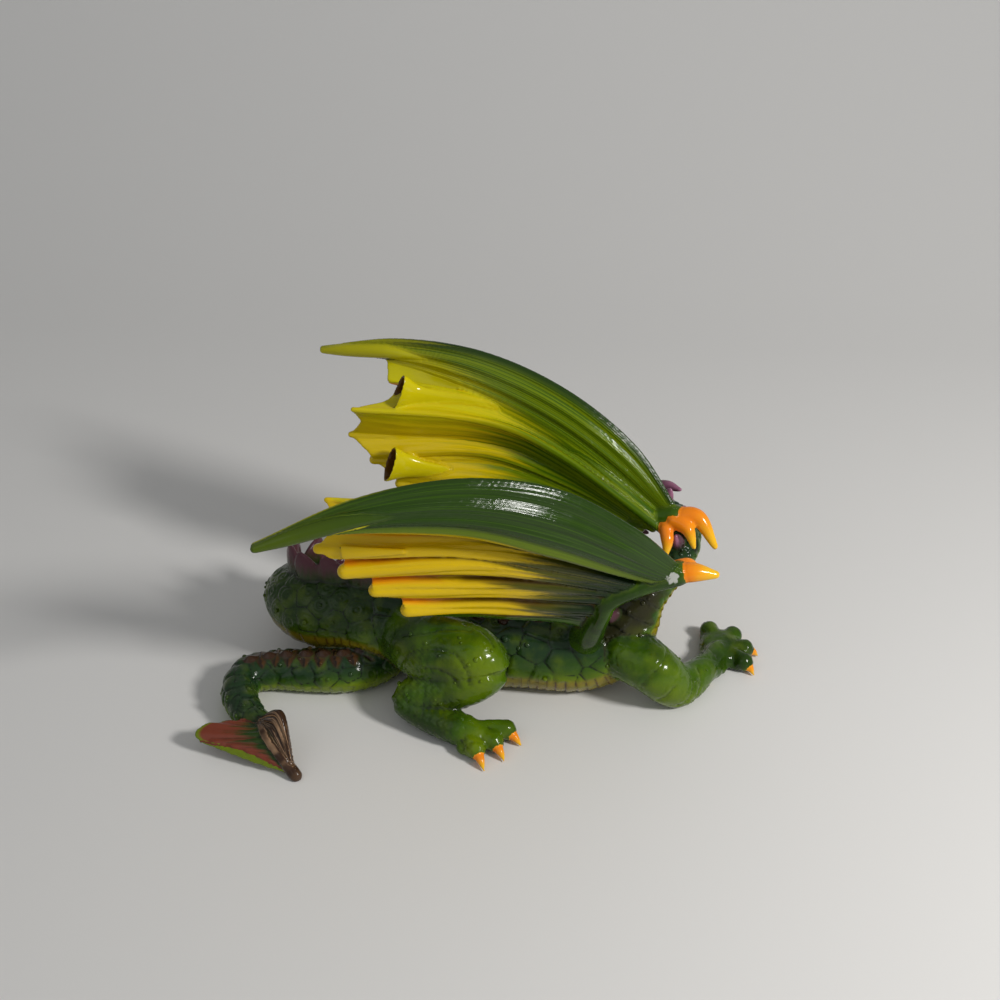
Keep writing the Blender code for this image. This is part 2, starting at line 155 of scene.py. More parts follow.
def ring_places(centre, forward, up, radius, sides, flat=1.0):
    """Rings of points round each centre; flat narrows them sideways."""
    angle = np.arange(sides) / sides * 2 * math.pi
    left = np.cross(up, forward) * flat
    rim = np.cos(angle)[None, :, None] * up[:, None] + np.sin(angle)[None, :, None] * left[:, None]
    return (centre[:, None] + radius[:, None, None] * rim).reshape(-1, 3), angle


def resample(stations, step):
    """Evenly spaced stations a step apart, with the direction and the upright at each."""
    length = sum(math.dist(a[:3], b[:3]) for a, b in zip(stations, stations[1:]))
    path = smooth_path(stations, max(5, int(length / step)))
    forward = unit(np.gradient(path[:, :3], axis=0))
    return path, forward, upright(forward)


def tube(stations, sides=20, step=0.0016, run=(0.0, 1.0), **marks):
    """A round member with domed ends. Its tip mark grows from 0 to 1 unless the marks give another."""
    path, forward, up = resample(stations, step)
    share = np.linspace(0, 1, len(path))
    order = [0] * len(DOME) + list(range(len(path))) + [len(path) - 1] * len(DOME)
    lean = np.concatenate([-DOME, np.zeros(len(path)), DOME[::-1]])
    centre = path[order, :3] + forward[order] * (path[order, 3] * np.sin(lean))[:, None]
    places, angle = ring_places(centre, forward[order], up[order], path[order, 3] * np.cos(lean), sides)
    along = np.repeat(share[order], sides)
    given = {
        "run": run[0] + (run[1] - run[0]) * along,
        "tip": along,
        "up": np.tile(np.cos(angle), len(order)),
        "across": np.tile(np.sin(angle), len(order)),
    }
    given.update(marks)
    return shell(places, rings_to_faces(len(order), sides), **given)


def cup(stations, wall, bottom, flat, sides=26, step=0.0012, **marks):
    """A horn open at its last station and hollow down to the bottom, a share of its length."""
    path, forward, up = resample(stations, step)
    floor = int(bottom * len(path))
    order = list(range(len(path))) + list(range(len(path) - 1, floor - 1, -1))
    inside = np.array([0.0] * len(path) + [1.0] * (len(path) - floor))
    radius = np.maximum(path[order, 3] - wall * inside, 0.0004)
    places, _ = ring_places(path[order, :3], forward[order], up[order], radius, sides, flat)
    return shell(places, rings_to_faces(len(order), sides), hollow=np.repeat(inside, sides), **marks)


def ball(place, size, axes=np.eye(3), sides=20, **marks):
    """An ellipsoid with the three half sizes along the three rows of axes."""
    height = np.radians(np.linspace(-86, 86, 14))
    angle = np.arange(sides) / sides * 2 * math.pi
    unit_ball = np.stack(
        [
            np.cos(height)[:, None] * np.cos(angle),
            np.cos(height)[:, None] * np.sin(angle),
            np.repeat(np.sin(height)[:, None], sides, axis=1),
        ],
        axis=-1,
    ).reshape(-1, 3)
    places = np.array(place) + (unit_ball * np.array(size)) @ np.array(axes)
    given = {"up": unit_ball[:, 2]}
    given.update(marks)
    return shell(places, rings_to_faces(len(height), sides), **given)


print("a tube has", len(tube([(0, 0, 0, 0.01), (0.1, 0, 0, 0.01)])[0]), "points and", len(MARKS), "marks")

# %% [markdown]
# Wings are sheets. A sheet runs through several lines, each from the wrist to the trailing edge, and
# the number of the line is carried as a fourth coordinate, so that each point knows whether it lies
# on a ridge or in a valley. Two layers and a rim make it a closed shell, thinner at its trailing edge.

# %% Sheets
SHEET_STEPS = 6
EDGE_THINNING = 0.45


def sheet(lines, numbers, thickness, side, mark_line):
    """A closed sheet through the numbered lines; mark_line turns numbers and shares into marks."""
    numbered = [np.column_stack([line, np.full(len(line), k)]) for k, line in zip(numbers, lines)]
    columns = (len(lines) - 1) * SHEET_STEPS + 1
    grid = np.array([smooth_path(section, columns) for section in zip(*numbered)])
    rows = len(grid)
    places, number = grid[..., :3], grid[..., 3]
    share = np.repeat(np.linspace(0, 1, rows)[:, None], columns, axis=1)
    normal = unit(np.cross(np.gradient(places, axis=0), np.gradient(places, axis=1)))
    flipped = normal[..., 1].mean() * side < 0
    normal = -normal if flipped else normal
    half = thickness / 2 * (1 - EDGE_THINNING * share**4)[..., None]
    layers = np.stack([places + normal * half, places - normal * half])
    count = rows * columns
    faces = []
    for r in range(rows - 1):
        for c in range(columns - 1):
            quad = [r * columns + c, (r + 1) * columns + c, (r + 1) * columns + c + 1, r * columns + c + 1]
            quad = quad[::-1] if flipped else quad
            faces += [tuple(quad), tuple(i + count for i in quad[::-1])]
    rim = [c for c in range(columns)] + [r * columns + columns - 1 for r in range(1, rows)]
    rim += [(rows - 1) * columns + c for c in range(columns - 2, -1, -1)]
    rim += [r * columns for r in range(rows - 2, 0, -1)]
    for a, b in zip(rim, rim[1:] + rim[:1]):
        faces.append((a, a + count, b + count, b) if flipped else (b, b + count, a + count, a))
    both = {name: np.tile(value.ravel(), 2) for name, value in mark_line(number, share).items()}
    both["run"] = np.tile(share.ravel(), 2)
    both["outer"] = np.repeat([1.0, -1.0], count)
    return shell(layers.reshape(-1, 3), faces, **both)


# %% [markdown]
# Fusing is what turns a heap of crossing shells into a casting. The Remesh modifier in voxel mode
# makes one even surface around all of them, and a little smoothing fills the creases as paint and
# resin do. A voxel remesh forgets every mark, so a Geometry Nodes tree carries each one over from
# the nearest place on the shells.

# %% Node trees written as expressions
class Value:
    """A socket of a node tree. Arithmetic on it adds Math nodes."""

    def __init__(self, net, socket):
        self.net = net
        self.socket = socket

    def _math(self, operation, *values):
        return self.net.node("ShaderNodeMath", {"operation": operation}, dict(enumerate(values)))

    def __add__(self, other):
        return self._math("ADD", self, other)

    def __sub__(self, other):
        return self._math("SUBTRACT", self, other)

    def __rsub__(self, other):
        return self._math("SUBTRACT", other, self)

    def __mul__(self, other):
        return self._math("MULTIPLY", self, other)

    __radd__ = __add__
    __rmul__ = __mul__

    def clamped(self):
        return self._math("MINIMUM", self._math("MAXIMUM", self, 0.0), 1.0)


class Net:
    """A shader or geometry tree under construction."""

    def __init__(self, tree):
        self.tree = tree

    def node(self, kind, settings=None, inputs=None, output=0):
        """Any node: its settings first, then values or links for its sockets, and one output back."""
        made = self.tree.nodes.new(kind)
        for name, value in (settings or {}).items():
            setattr(made, name, value)
        for name, value in (inputs or {}).items():
            if isinstance(value, Value):
                self.tree.links.new(value.socket, made.inputs[name])
            else:
                made.inputs[name].default_value = value
        return Value(self, made.outputs[output])


def geometry_net(title, wanted):
    """A Geometry Nodes tree with a geometry going in and out, and the wanted further inputs."""
    tree = bpy.data.node_groups.new(title, "GeometryNodeTree")
    tree.interface.new_socket("Geometry", in_out="INPUT", socket_type="NodeSocketGeometry")
    tree.interface.new_socket("Geometry", in_out="OUTPUT", socket_type="NodeSocketGeometry")
    for name, kind in wanted:
        tree.interface.new_socket(name, in_out="INPUT", socket_type=kind)
    net = Net(tree)
    inputs = tree.nodes.new("NodeGroupInput")
    return net, {socket.name: Value(net, socket) for socket in inputs.outputs if socket.name}


def close_net(net, geometry):
    """Joins the last geometry to the tree's output."""
    out = net.tree.nodes.new("NodeGroupOutput")
    net.tree.links.new(geometry.socket, out.inputs[0])
    return net.tree


def run_tree(piece, tree, **values):
    """Applies a Geometry Nodes tree to a piece, with inputs set by their sockets' identifiers."""
    modifier = piece.modifiers.new(tree.name, "NODES")
    modifier.node_group = tree
    for item in tree.interface.items_tree:
        if item.in_out == "INPUT" and item.name in values:
            modifier[item.identifier] = values[item.name]
    settle(piece)


def settle(piece):
    """Turns the modifiers of a piece into its mesh."""
    bpy.context.view_layer.update()
    graph = bpy.context.evaluated_depsgraph_get()
    mesh = bpy.data.meshes.new_from_object(piece.evaluated_get(graph))
    piece.modifiers.clear()
    piece.data = mesh


# %% Carry the marks over from the shells
def carry_tree():
    net, given = geometry_net("carry_marks", [("Shells", "NodeSocketObject")])
    relative = {"transform_space": "RELATIVE"}
    source = net.node("GeometryNodeObjectInfo", relative, {0: given["Shells"]}, "Geometry")
    geometry = given["Geometry"]
    for name in MARKS:
        mark = net.node("GeometryNodeInputNamedAttribute", {"data_type": "FLOAT"}, {"Name": name})
        near = net.node(
            "GeometryNodeSampleNearestSurface", {"data_type": "FLOAT"}, {"Mesh": source, "Value": mark}
        )
        geometry = net.node(
            "GeometryNodeStoreNamedAttribute",
            {"data_type": "FLOAT", "domain": "POINT"},
            {"Geometry": geometry, "Name": name, "Value": near},
        )
    return close_net(net, geometry)


CARRY = carry_tree()
print("the tree that carries", len(MARKS), "marks has", len(CARRY.nodes), "nodes")


# %% Fuse shells into one casting
def add_piece(name, mesh):
    piece = bpy.data.objects.new(name, mesh)
    bpy.context.scene.collection.objects.link(piece)
    return piece


def join_shells(name, shells):
    """One object that holds all the shells and their marks."""
    places = np.concatenate([s[0] for s in shells])
    starts = np.cumsum([0] + [len(s[0]) for s in shells[:-1]])
    faces = [tuple(i + start for i in face) for s, start in zip(shells, starts) for face in s[1]]
    mesh = bpy.data.meshes.new(name)
    mesh.from_pydata(places.tolist(), [], faces)
    for mark in MARKS:
        values = np.concatenate([s[2][mark] for s in shells]).astype(np.float32)
        mesh.attributes.new(mark, "FLOAT", "POINT").data.foreach_set("value", values)
    return add_piece(name, mesh)


def fuse(name, shells, voxel, rounds):
    """Remeshes the shells to one surface, smooths it and carries the marks over."""
    source = join_shells(name + "_shells", shells)
    piece = add_piece(name, source.data.copy())
    remesh = piece.modifiers.new("Fuse", "REMESH")
    remesh.mode = "VOXEL"
    remesh.voxel_size = voxel
    soften = piece.modifiers.new("Soften", "SMOOTH")
    soften.iterations = rounds
    settle(piece)
    run_tree(piece, CARRY, Shells=source)
    bpy.data.objects.remove(source)
    print(name, "is one surface of", len(piece.data.polygons), "faces")
    return piece


# %% [markdown]
# Carving moves each point of the fused skin in or out along its normal. These helpers read the points
# into arrays, soften a mark over its neighbours, and write the moved points back.

# %% Read and move points
def read(mesh, name, width=1):
    values = np.empty(len(mesh.vertices) * width, np.float32)
    if name == "co":
        mesh.vertices.foreach_get("co", values)
    elif name == "normal":
        mesh.vertices.foreach_get("normal", values)
    else:
        mesh.attributes[name].data.foreach_get("value", values)
    return values.reshape(-1, width).astype(float) if width > 1 else values.astype(float)


def write_mark(mesh, name, values):
    mark = mesh.attributes.get(name) or mesh.attributes.new(name, "FLOAT", "POINT")
    mark.data.foreach_set("value", np.asarray(values, np.float32))


def softened(mesh, values, rounds):
    """The values after each point has taken its neighbours' mean a number of times."""
    ends = np.empty(len(mesh.edges) * 2, np.int32)
    mesh.edges.foreach_get("vertices", ends)
    a, b = ends.reshape(-1, 2).T
    count = len(mesh.vertices)
    share = np.bincount(a, minlength=count) + np.bincount(b, minlength=count)
    for _ in range(rounds):
        total = np.bincount(a, values[b], count) + np.bincount(b, values[a], count)
        values = 0.5 * values + 0.5 * total / np.maximum(share, 1)
    return values


def move_points(mesh, places):
    mesh.vertices.foreach_set("co", np.asarray(places, np.float32).ravel())
    mesh.update()


def smoothstep(low, high, values):
    """0 up to low, 1 from high on, and a smooth slope between. Low may be the larger one."""
    t = np.clip((np.asarray(values, float) - low) / (high - low), 0, 1)
    return t * t * (3 - 2 * t)


print("a smooth step, a quarter of the way up:", float(smoothstep(0, 1, 0.25)))

# %% [markdown]
# ## The body
#
# One line runs from the neck over the back, round the raised tail base, back under itself and out to
# the spade. The stations are those of the solid model. The legs and the head are more members, and
# feet are balls and short tubes that end in claws.

# %% Body line
BODY = [
    (0.106, 0.053, 0.084, 0.0090),
    (0.117, 0.043, 0.082, 0.0090),
    (0.120, 0.030, 0.077, 0.0092),
    (0.112, 0.016, 0.070, 0.0098),
    (0.099, 0.004, 0.058, 0.0118),
    (0.091, -0.002, 0.042, 0.0160),
    (0.082, -0.004, 0.028, 0.0200),
    (0.060, -0.004, 0.021, 0.0230),
    (0.030, -0.003, 0.021, 0.0230),
    (0.000, -0.003, 0.021, 0.0225),
    (-0.025, -0.002, 0.025, 0.0220),
    (-0.048, 0.001, 0.032, 0.0220),
    (-0.073, 0.004, 0.037, 0.0218),
    (-0.096, 0.008, 0.036, 0.0218),
    (-0.109, 0.025, 0.032, 0.0190),
    (-0.103, 0.043, 0.025, 0.0155),
    (-0.086, 0.050, 0.018, 0.0140),
    (-0.066, 0.044, 0.014, 0.0135),
    (-0.053, 0.027, 0.012, 0.0130),
    (-0.049, 0.007, 0.012, 0.0130),
    (-0.056, -0.010, 0.012, 0.0130),
    (-0.073, -0.019, 0.012, 0.0130),
    (-0.095, -0.0205, 0.0115, 0.0125),
    (-0.115, -0.0205, 0.0105, 0.0115),
    (-0.130, -0.026, 0.0100, 0.0110),
    (-0.132, -0.042, 0.0095, 0.0100),
    (-0.124, -0.057, 0.0095, 0.0090),
    (-0.114, -0.068, 0.0110, 0.0065),
]
body_shells = [tube(BODY, sides=36)]
print("the body line has", len(BODY), "stations")

# %% [markdown]
# Legs are tubes through the joints: shoulder, elbow, wrist, or hip, knee, heel. Toes fan out from
# the palm. Each has a thick knuckle, a waist before it and a claw that curls down to the ground.

# %% Legs and feet
FORELEG_RIGHT = [
    (0.090, -0.014, 0.030, 0.0160),
    (0.103, -0.021, 0.026, 0.0150),
    (0.116, -0.020, 0.013, 0.0130),
    (0.124, -0.013, 0.0095, 0.0112),
    (0.133, -0.002, 0.0085, 0.0090),
    (0.140, 0.010, 0.0070, 0.0078),
    (0.144, 0.018, 0.0060, 0.0080),
]
PALM_RIGHT, PALM_RIGHT_SIZE = (0.1465, 0.024, 0.0055), (0.0135, 0.0160, 0.0070)
TOES_RIGHT_FORE = [(0.1405, 0.004), (0.159, 0.012), (0.160, 0.024), (0.154, 0.036), (0.140, 0.040)]
FORELEG_LEFT = [
    (0.086, 0.010, 0.028, 0.0160),
    (0.076, 0.026, 0.024, 0.0145),
    (0.064, 0.037, 0.012, 0.0120),
    (0.068, 0.046, 0.0090, 0.0095),
    (0.075, 0.049, 0.0070, 0.0080),
]
PALM_LEFT, PALM_LEFT_SIZE = (0.079, 0.052, 0.0055), (0.0135, 0.0120, 0.0060)
TOES_LEFT_FORE = [(0.079, 0.040), (0.091, 0.043), (0.095, 0.052), (0.091, 0.061), (0.081, 0.066)]
HIND_RIGHT = [
    (-0.036, -0.012, 0.034, 0.0190),
    (-0.018, -0.028, 0.038, 0.0215),
    (0.002, -0.037, 0.041, 0.0180),
    (0.009, -0.041, 0.035, 0.0140),
    (-0.006, -0.043, 0.026, 0.0140),
    (-0.024, -0.044, 0.020, 0.0120),
    (-0.035, -0.046, 0.015, 0.0088),
    (-0.024, -0.053, 0.011, 0.0085),
    (-0.006, -0.060, 0.009, 0.0095),
    (0.006, -0.063, 0.006, 0.0085),
]
TOES_RIGHT_HIND = [
    (0.0065, -0.0735, 0.0122, -0.0850),
    (0.0160, -0.0668, 0.0228, -0.0768),
    (0.0225, -0.0570, 0.0312, -0.0640),
]
HIND_LEFT = [
    (-0.036, 0.014, 0.034, 0.0190),
    (-0.018, 0.028, 0.036, 0.0200),
    (0.002, 0.035, 0.038, 0.0170),
    (0.009, 0.038, 0.033, 0.0135),
    (-0.006, 0.041, 0.025, 0.0130),
    (-0.024, 0.043, 0.019, 0.0115),
    (-0.034, 0.046, 0.014, 0.0088),
    (-0.022, 0.052, 0.010, 0.0085),
    (-0.006, 0.058, 0.008, 0.0095),
    (0.002, 0.060, 0.007, 0.0092),
]
TOES_LEFT_HIND = [(0.019, 0.055), (0.018, 0.065), (0.009, 0.072)]
TOE_RADIUS, TOE_HEIGHT = 0.0058, 0.0062
CLAW_RADIUS, CLAW_TIP = 0.0035, 0.0007
HIND_CLAW, FORE_CLAW = 0.0105, 0.0085


def pointing(start, toes, reach):
    """Gives each toe the place of its claw's tip, straight on from its knuckle."""
    whole = []
    for x, y in toes:
        forward = unit(np.array([x - start[0], y - start[1]]))
        whole.append((x, y, x + forward[0] * reach, y + forward[1] * reach))
    return whole


def foot(start, toes):
    """Toes that run from the ankle like cords under the skin, with webs between, and their claws."""
    ankle = np.array(start)
    made = []
    for x, y, tip_x, tip_y in toes:
        knuckle = np.array([x, y, TOE_HEIGHT])
        point = np.array([tip_x, tip_y, 0.0012])
        cord = ankle * 0.45 + knuckle * 0.55 + np.array([0, 0, 0.0018])
        toe = [(ankle, 0.55), (cord, 0.62), (knuckle, 1.0)]
        made.append(tube([(*p, TOE_RADIUS * r) for p, r in toe], limb=1.0))
        web = ankle * 0.3 + knuckle * 0.7 - np.array([0, 0, 0.0025])
        made.append(ball(web, (0.0075, 0.0075, 0.0038), limb=1.0, tip=0.8))
        forward = unit(point - knuckle)
        root = knuckle + forward * TOE_RADIUS * 0.45
        bend = root * 0.5 + point * 0.5 + np.array([0, 0, 0.0012])
        claw = [(root, CLAW_RADIUS), (bend, CLAW_RADIUS * 0.72), (point, CLAW_TIP)]
        made.append(tube([(*p, r) for p, r in claw], sides=16, step=0.0008, claw=1.0))
    return made


def legs():
    made = [tube(leg, sides=28, limb=1.0) for leg in (FORELEG_RIGHT, FORELEG_LEFT, HIND_RIGHT, HIND_LEFT)]
    for palm, size in ((PALM_RIGHT, PALM_RIGHT_SIZE), (PALM_LEFT, PALM_LEFT_SIZE)):
        made.append(ball(palm, size, limb=1.0, tip=0.9))
    made += foot(PALM_RIGHT, pointing(PALM_RIGHT, TOES_RIGHT_FORE, FORE_CLAW))
    made += foot(PALM_LEFT, pointing(PALM_LEFT, TOES_LEFT_FORE, FORE_CLAW))
    made += foot(HIND_RIGHT[-2][:3], TOES_RIGHT_HIND)
    made += foot(HIND_LEFT[-2][:3], pointing(HIND_LEFT[-2], TOES_LEFT_HIND, HIND_CLAW))
    return made


body_shells += legs()
print("with legs the body has", len(body_shells), "shells")

# %% [markdown]
# The head is turned back past the left wing, so it has its own frame: +X along the snout, +Y to its
# left, +Z up. Its parts are given once and mirrored. It is plain here, a generic dragon's head with
# swept-back horns, because the photograph hides it.

# %% Head
HEAD_PLACE = np.array([0.091, 0.062, 0.084])
HEAD_FORWARD = unit(np.array([-0.76, 0.60, -0.20]))
HEAD_LEFT = unit(np.cross([0, 0, 1.0], HEAD_FORWARD))
HEAD_AXES = np.array([HEAD_FORWARD, HEAD_LEFT, np.cross(HEAD_FORWARD, HEAD_LEFT)])
SKULL_SIZE = (0.0175, 0.0140, 0.0130)
MUZZLE = [(0.004, 0.0, -0.001, 0.0120), (0.022, 0.0, -0.002, 0.0096), (0.040, 0.0, -0.004, 0.0074)]
JAW = [(-0.004, 0.0, -0.009, 0.0085), (0.018, 0.0, -0.0145, 0.0060), (0.035, 0.0, -0.018, 0.0042)]
BROW = [(-0.002, 0.008, 0.008, 0.0036), (0.010, 0.0085, 0.0095, 0.0034), (0.019, 0.006, 0.006, 0.0022)]
HORN = [(-0.006, 0.008, 0.006, 0.0046), (-0.017, 0.011, 0.009, 0.0034), (-0.027, 0.010, 0.009, 0.0014)]
CHEEK = [(-0.004, 0.010, -0.006, 0.0044), (-0.015, 0.0155, -0.008, 0.0028), (-0.023, 0.018, -0.007, 0.0010)]
NOSTRIL, NOSTRIL_RADIUS = (0.041, 0.0036, 0.0020), 0.0028
EYE, EYE_RADIUS = (0.0105, 0.0098, 0.0045), 0.0036


def in_head(points, side=1):
    """Places given in the head's frame, with any radius kept as the fourth number."""
    return [(*(HEAD_PLACE + np.array([x, side * y, z]) @ HEAD_AXES), *rest) for x, y, z, *rest in points]


def head():
    made = [ball(HEAD_PLACE, SKULL_SIZE, HEAD_AXES, head=1.0, tip=0.0)]
    made += [tube(in_head(part), head=1.0, tip=0.0) for part in (MUZZLE, JAW)]
    for side in (-1, 1):
        made.append(tube(in_head(BROW, side), head=1.0, tip=0.0))
        made += [tube(in_head(part, side), head=1.0, spine=1.0, run=(0.02, 0.04)) for part in (HORN, CHEEK)]
        made.append(ball(in_head([EYE], side)[0], (EYE_RADIUS,) * 3, head=1.0, eye=1.0, tip=0.0))
        made.append(ball(in_head([NOSTRIL], side)[0], (NOSTRIL_RADIUS,) * 3, head=1.0, tip=0.0))
    return made


body_shells += head()
print("with the head it has", len(body_shells), "shells")

# %% [markdown]
# The spade at the tail's end has two lobes that fall from a raised rib. Each lobe is a sheet of its
# own, so that its carved lines can run from the rib's root out to the edge.

# %% Spade
SPADE_ROOT = (-0.116, -0.066, 0.0125)
SPADE_POINT = (-0.090, -0.097, 0.0020)
SPADE_RIB = (-0.106, -0.084, 0.0150)
SPADE_BACK, SPADE_LEFT = (-0.138, -0.0715, 0.0130), (-0.1475, -0.0750, 0.0122)
SPADE_TURN = (-0.1455, -0.0815, 0.0090)  # where the left lobe's rounded end turns back
SPADE_EDGE = (-0.1180, -0.0885, 0.0095)  # the left lobe's edge, half-way to the point
SPADE_KEEL = (-0.1120, -0.0915, 0.0042)  # the line on which the left lobe rests
SPADE_RIGHT = (-0.099, -0.077, 0.0300)
SPADE_THICKNESS = 0.0046
SPADE_RIB_RADIUS = 0.0034
KEEL_THICKNESS = 0.0026
EDGE_STATIONS = 50
RIB_STRIDE = 7  # the rib takes every seventh station of its line


def spade():
    """Two lobes and the rib between them, and the keel that closes the left lobe from below."""
    edges = [
        smooth_path(edge, EDGE_STATIONS)
        for edge in (
            (SPADE_ROOT, SPADE_BACK, SPADE_LEFT, SPADE_TURN, SPADE_EDGE, SPADE_POINT),
            (SPADE_ROOT, SPADE_RIB, SPADE_POINT),
            (SPADE_ROOT, SPADE_RIGHT, SPADE_POINT),
        )
    ]

    upper = smooth_path((SPADE_TURN, SPADE_EDGE, SPADE_POINT), EDGE_STATIONS)
    keel = smooth_path((SPADE_TURN, SPADE_KEEL, SPADE_POINT), EDGE_STATIONS)

    def lobe_marks(number, share):
        return {"spade": np.ones_like(number), "tip": np.abs(number), "across": -number}

    def keel_marks(number, share):
        return {"spade": np.ones_like(number), "keel": np.ones_like(number), "tip": np.ones_like(number)}

    rib_line = [(*p, SPADE_RIB_RADIUS) for p in edges[1][::RIB_STRIDE]]
    rib = tube(rib_line, spade=1.0, tip=0.0, across=-0.3)
    return [
        sheet(edges, (-1.0, 0.0, 1.0), SPADE_THICKNESS, 1, lobe_marks),
        sheet((upper, (upper + keel) / 2, keel), (0, 1, 2), KEEL_THICKNESS, -1, keel_marks),
        rib,
    ]


body_shells += spade()
print("with the spade it has", len(body_shells), "shells")

# %% [markdown]
# Spines stand in rows on the back. They all repeat one leaf-shaped form, so a Geometry Nodes tree
# plants them: each point of a small mesh carries the direction in which its spine stands, the one it
# faces, and its size. The same tree plants the knobs later.

# %% A tree that plants a form on points
def planting_tree():
    net, given = geometry_net("plant", [("Form", "NodeSocketObject"), ("Finish", "NodeSocketMaterial")])

    def vector(name):
        return net.node("GeometryNodeInputNamedAttribute", {"data_type": "FLOAT_VECTOR"}, {"Name": name})

    form = net.node("GeometryNodeObjectInfo", {}, {0: given["Form"]}, "Geometry")
    upward = net.node("FunctionNodeAlignRotationToVector", {"axis": "Z"}, {"Vector": vector("upward")})
    turned = net.node(
        "FunctionNodeAlignRotationToVector",
        {"axis": "X", "pivot_axis": "Z"},
        {"Rotation": upward, "Vector": vector("facing")},
    )
    planted = net.node(
        "GeometryNodeInstanceOnPoints",
        {},
        {"Points": given["Geometry"], "Instance": form, "Rotation": turned, "Scale": vector("size")},
    )
    real = net.node("GeometryNodeRealizeInstances", {}, {0: planted})
    finished = net.node("GeometryNodeSetMaterial", {}, {"Geometry": real, "Material": given["Finish"]})
    return close_net(net, finished)


PLANT = planting_tree()
print("the planting tree has", len(PLANT.nodes), "nodes")


def plant(name, form, places, upward, facing, sizes, finish, **marks):
    """The form at each place, as one plain mesh that keeps the marks of its places."""
    mesh = bpy.data.meshes.new(name)
    mesh.from_pydata([tuple(p) for p in places], [], [])
    for attribute, values in (("upward", upward), ("facing", facing), ("size", sizes)):
        store = mesh.attributes.new(attribute, "FLOAT_VECTOR", "POINT")
        store.data.foreach_set("vector", np.asarray(values, np.float32).ravel())
    for mark, values in marks.items():
        write_mark(mesh, mark, np.broadcast_to(values, len(places)))
    piece = add_piece(name, mesh)
    run_tree(piece, PLANT, Form=form, Finish=finish)
    return piece


def leaf_form(sides=12, rings=12):
    """A leaf-shaped spine, one unit long, thick and high, that leans back a little."""
    height = np.linspace(0, 1, rings)
    width = 0.5 * (1 - height**3.2) ** 0.75 * (1 + 0.15 * np.sin(height * math.pi)) + 0.02
    thick = 0.5 * (1 - height**2) ** 0.9 + 0.04
    angle = np.arange(sides) / sides * 2 * math.pi
    places = np.stack(
        [
            width[:, None] * np.cos(angle) - 0.22 * height[:, None] ** 2,
            thick[:, None] * np.sin(angle),
            np.repeat(height[:, None], sides, axis=1),
        ],
        axis=-1,
    ).reshape(-1, 3)
    mesh = bpy.data.meshes.new("leaf_form")
    mesh.from_pydata(places.tolist(), [], rings_to_faces(rings, sides))
    write_mark(mesh, "tip", np.repeat(height, sides))
    form = add_piece("leaf_form", mesh)
    form.hide_render = True
    return form


# %% Plant the spines on the back
SPINE_ROWS = [  # from and to, as shares of the body line, then count, height and width
    (0.005, 0.125, 5, 0.0110, 0.0085),
    (0.150, 0.235, 4, 0.0060, 0.0100),
    (0.270, 0.430, 6, 0.0080, 0.0110),
    (0.462, 0.580, 6, 0.0175, 0.0185),
    (0.590, 0.760, 9, 0.0080, 0.0085),
    (0.790, 0.905, 7, 0.0030, 0.0095),
]
SPINE_THICKNESS = 0.0074
SPINE_SINK = 0.0040
SPINE_WIDTH_SHARE = 0.86
SPINE_SAMPLES = 600


def shell_from(piece, **marks):
    """A shell made from an object's mesh, with the marks that the mesh has."""
    mesh = piece.data
    for name in MARKS:
        if name in mesh.attributes and name not in marks:
            marks[name] = read(mesh, name)
    faces = [tuple(face.vertices) for face in mesh.polygons]
    made = shell(read(mesh, "co", 3), faces, **marks)
    bpy.data.objects.remove(piece)
    return made


def spines():
    path = smooth_path(BODY, SPINE_SAMPLES)
    forward = unit(np.gradient(path[:, :3], axis=0))
    up = upright(forward)
    rows = []
    for start, end, count, height, width in SPINE_ROWS:
        for share in np.linspace(start, end, count):
            place = min(int(share * SPINE_SAMPLES), SPINE_SAMPLES - 2)
            rows.append((place, height, width, share))
    index = np.array([row[0] for row in rows])
    height, width, share = (np.array([row[k] for row in rows]) for k in (1, 2, 3))
    base = path[index, :3] + up[index] * (path[index, 3] - SPINE_SINK)[:, None]
    thickness = np.full(len(rows), SPINE_THICKNESS)
    sizes = np.stack([width * SPINE_WIDTH_SHARE, thickness, height + SPINE_SINK], axis=1)
    form = leaf_form()
    piece = plant("spines", form, base, up[index], -forward[index], sizes, None, run=share)
    bpy.data.objects.remove(form)
    return shell_from(piece, spine=1.0, up=1.0)


body_shells.append(spines())
print("the body has", len(body_shells), "shells, the last of which holds all the spines")

# %% [markdown]
# Now the body's shells are fused. The voxel is a little under a millimetre, which keeps the toes and
# the spines apart and still leaves room for the carving within the number of faces that is allowed.

# %% Fuse the body
BODY_VOXEL = 0.00098
body = fuse("dragon_body", body_shells, BODY_VOXEL, rounds=3)

# %% [markdown]
# ## Scales
#
# The hide has large rounded scales, set like cobbles, with dark lines between them. Scale centres are
# scattered over the skin no closer than a given spacing, which is large on the trunk and small on
# the neck. Each point then measures its distance to the two nearest centres: where the two are equal
# a groove runs, and near the first the scale swells. This is a Voronoi pattern on the surface itself.

# %% Scatter scale centres
SEED = 7
TORSO_SCALE, RUMP_SCALE, TAIL_SCALE, NECK_SCALE, LIMB_SCALE = 0.0112, 0.0100, 0.0085, 0.0062, 0.0130
HEAD_SCALE = 0.0052
skin = body.data
places, normals = read(skin, "co", 3), read(skin, "normal", 3)
SOFTENING = {
    "run": 6,
    "limb": 12,
    "spine": 2,
    "head": 6,
    "spade": 3,
    "claw": 1,
    "eye": 0,
    "up": 3,
    "tip": 2,
    "across": 2,
    "keel": 1,
}
mark = {name: softened(skin, read(skin, name), rounds) for name, rounds in SOFTENING.items()}
run, up, limb, tip = mark["run"], mark["up"], mark["limb"], mark["tip"]


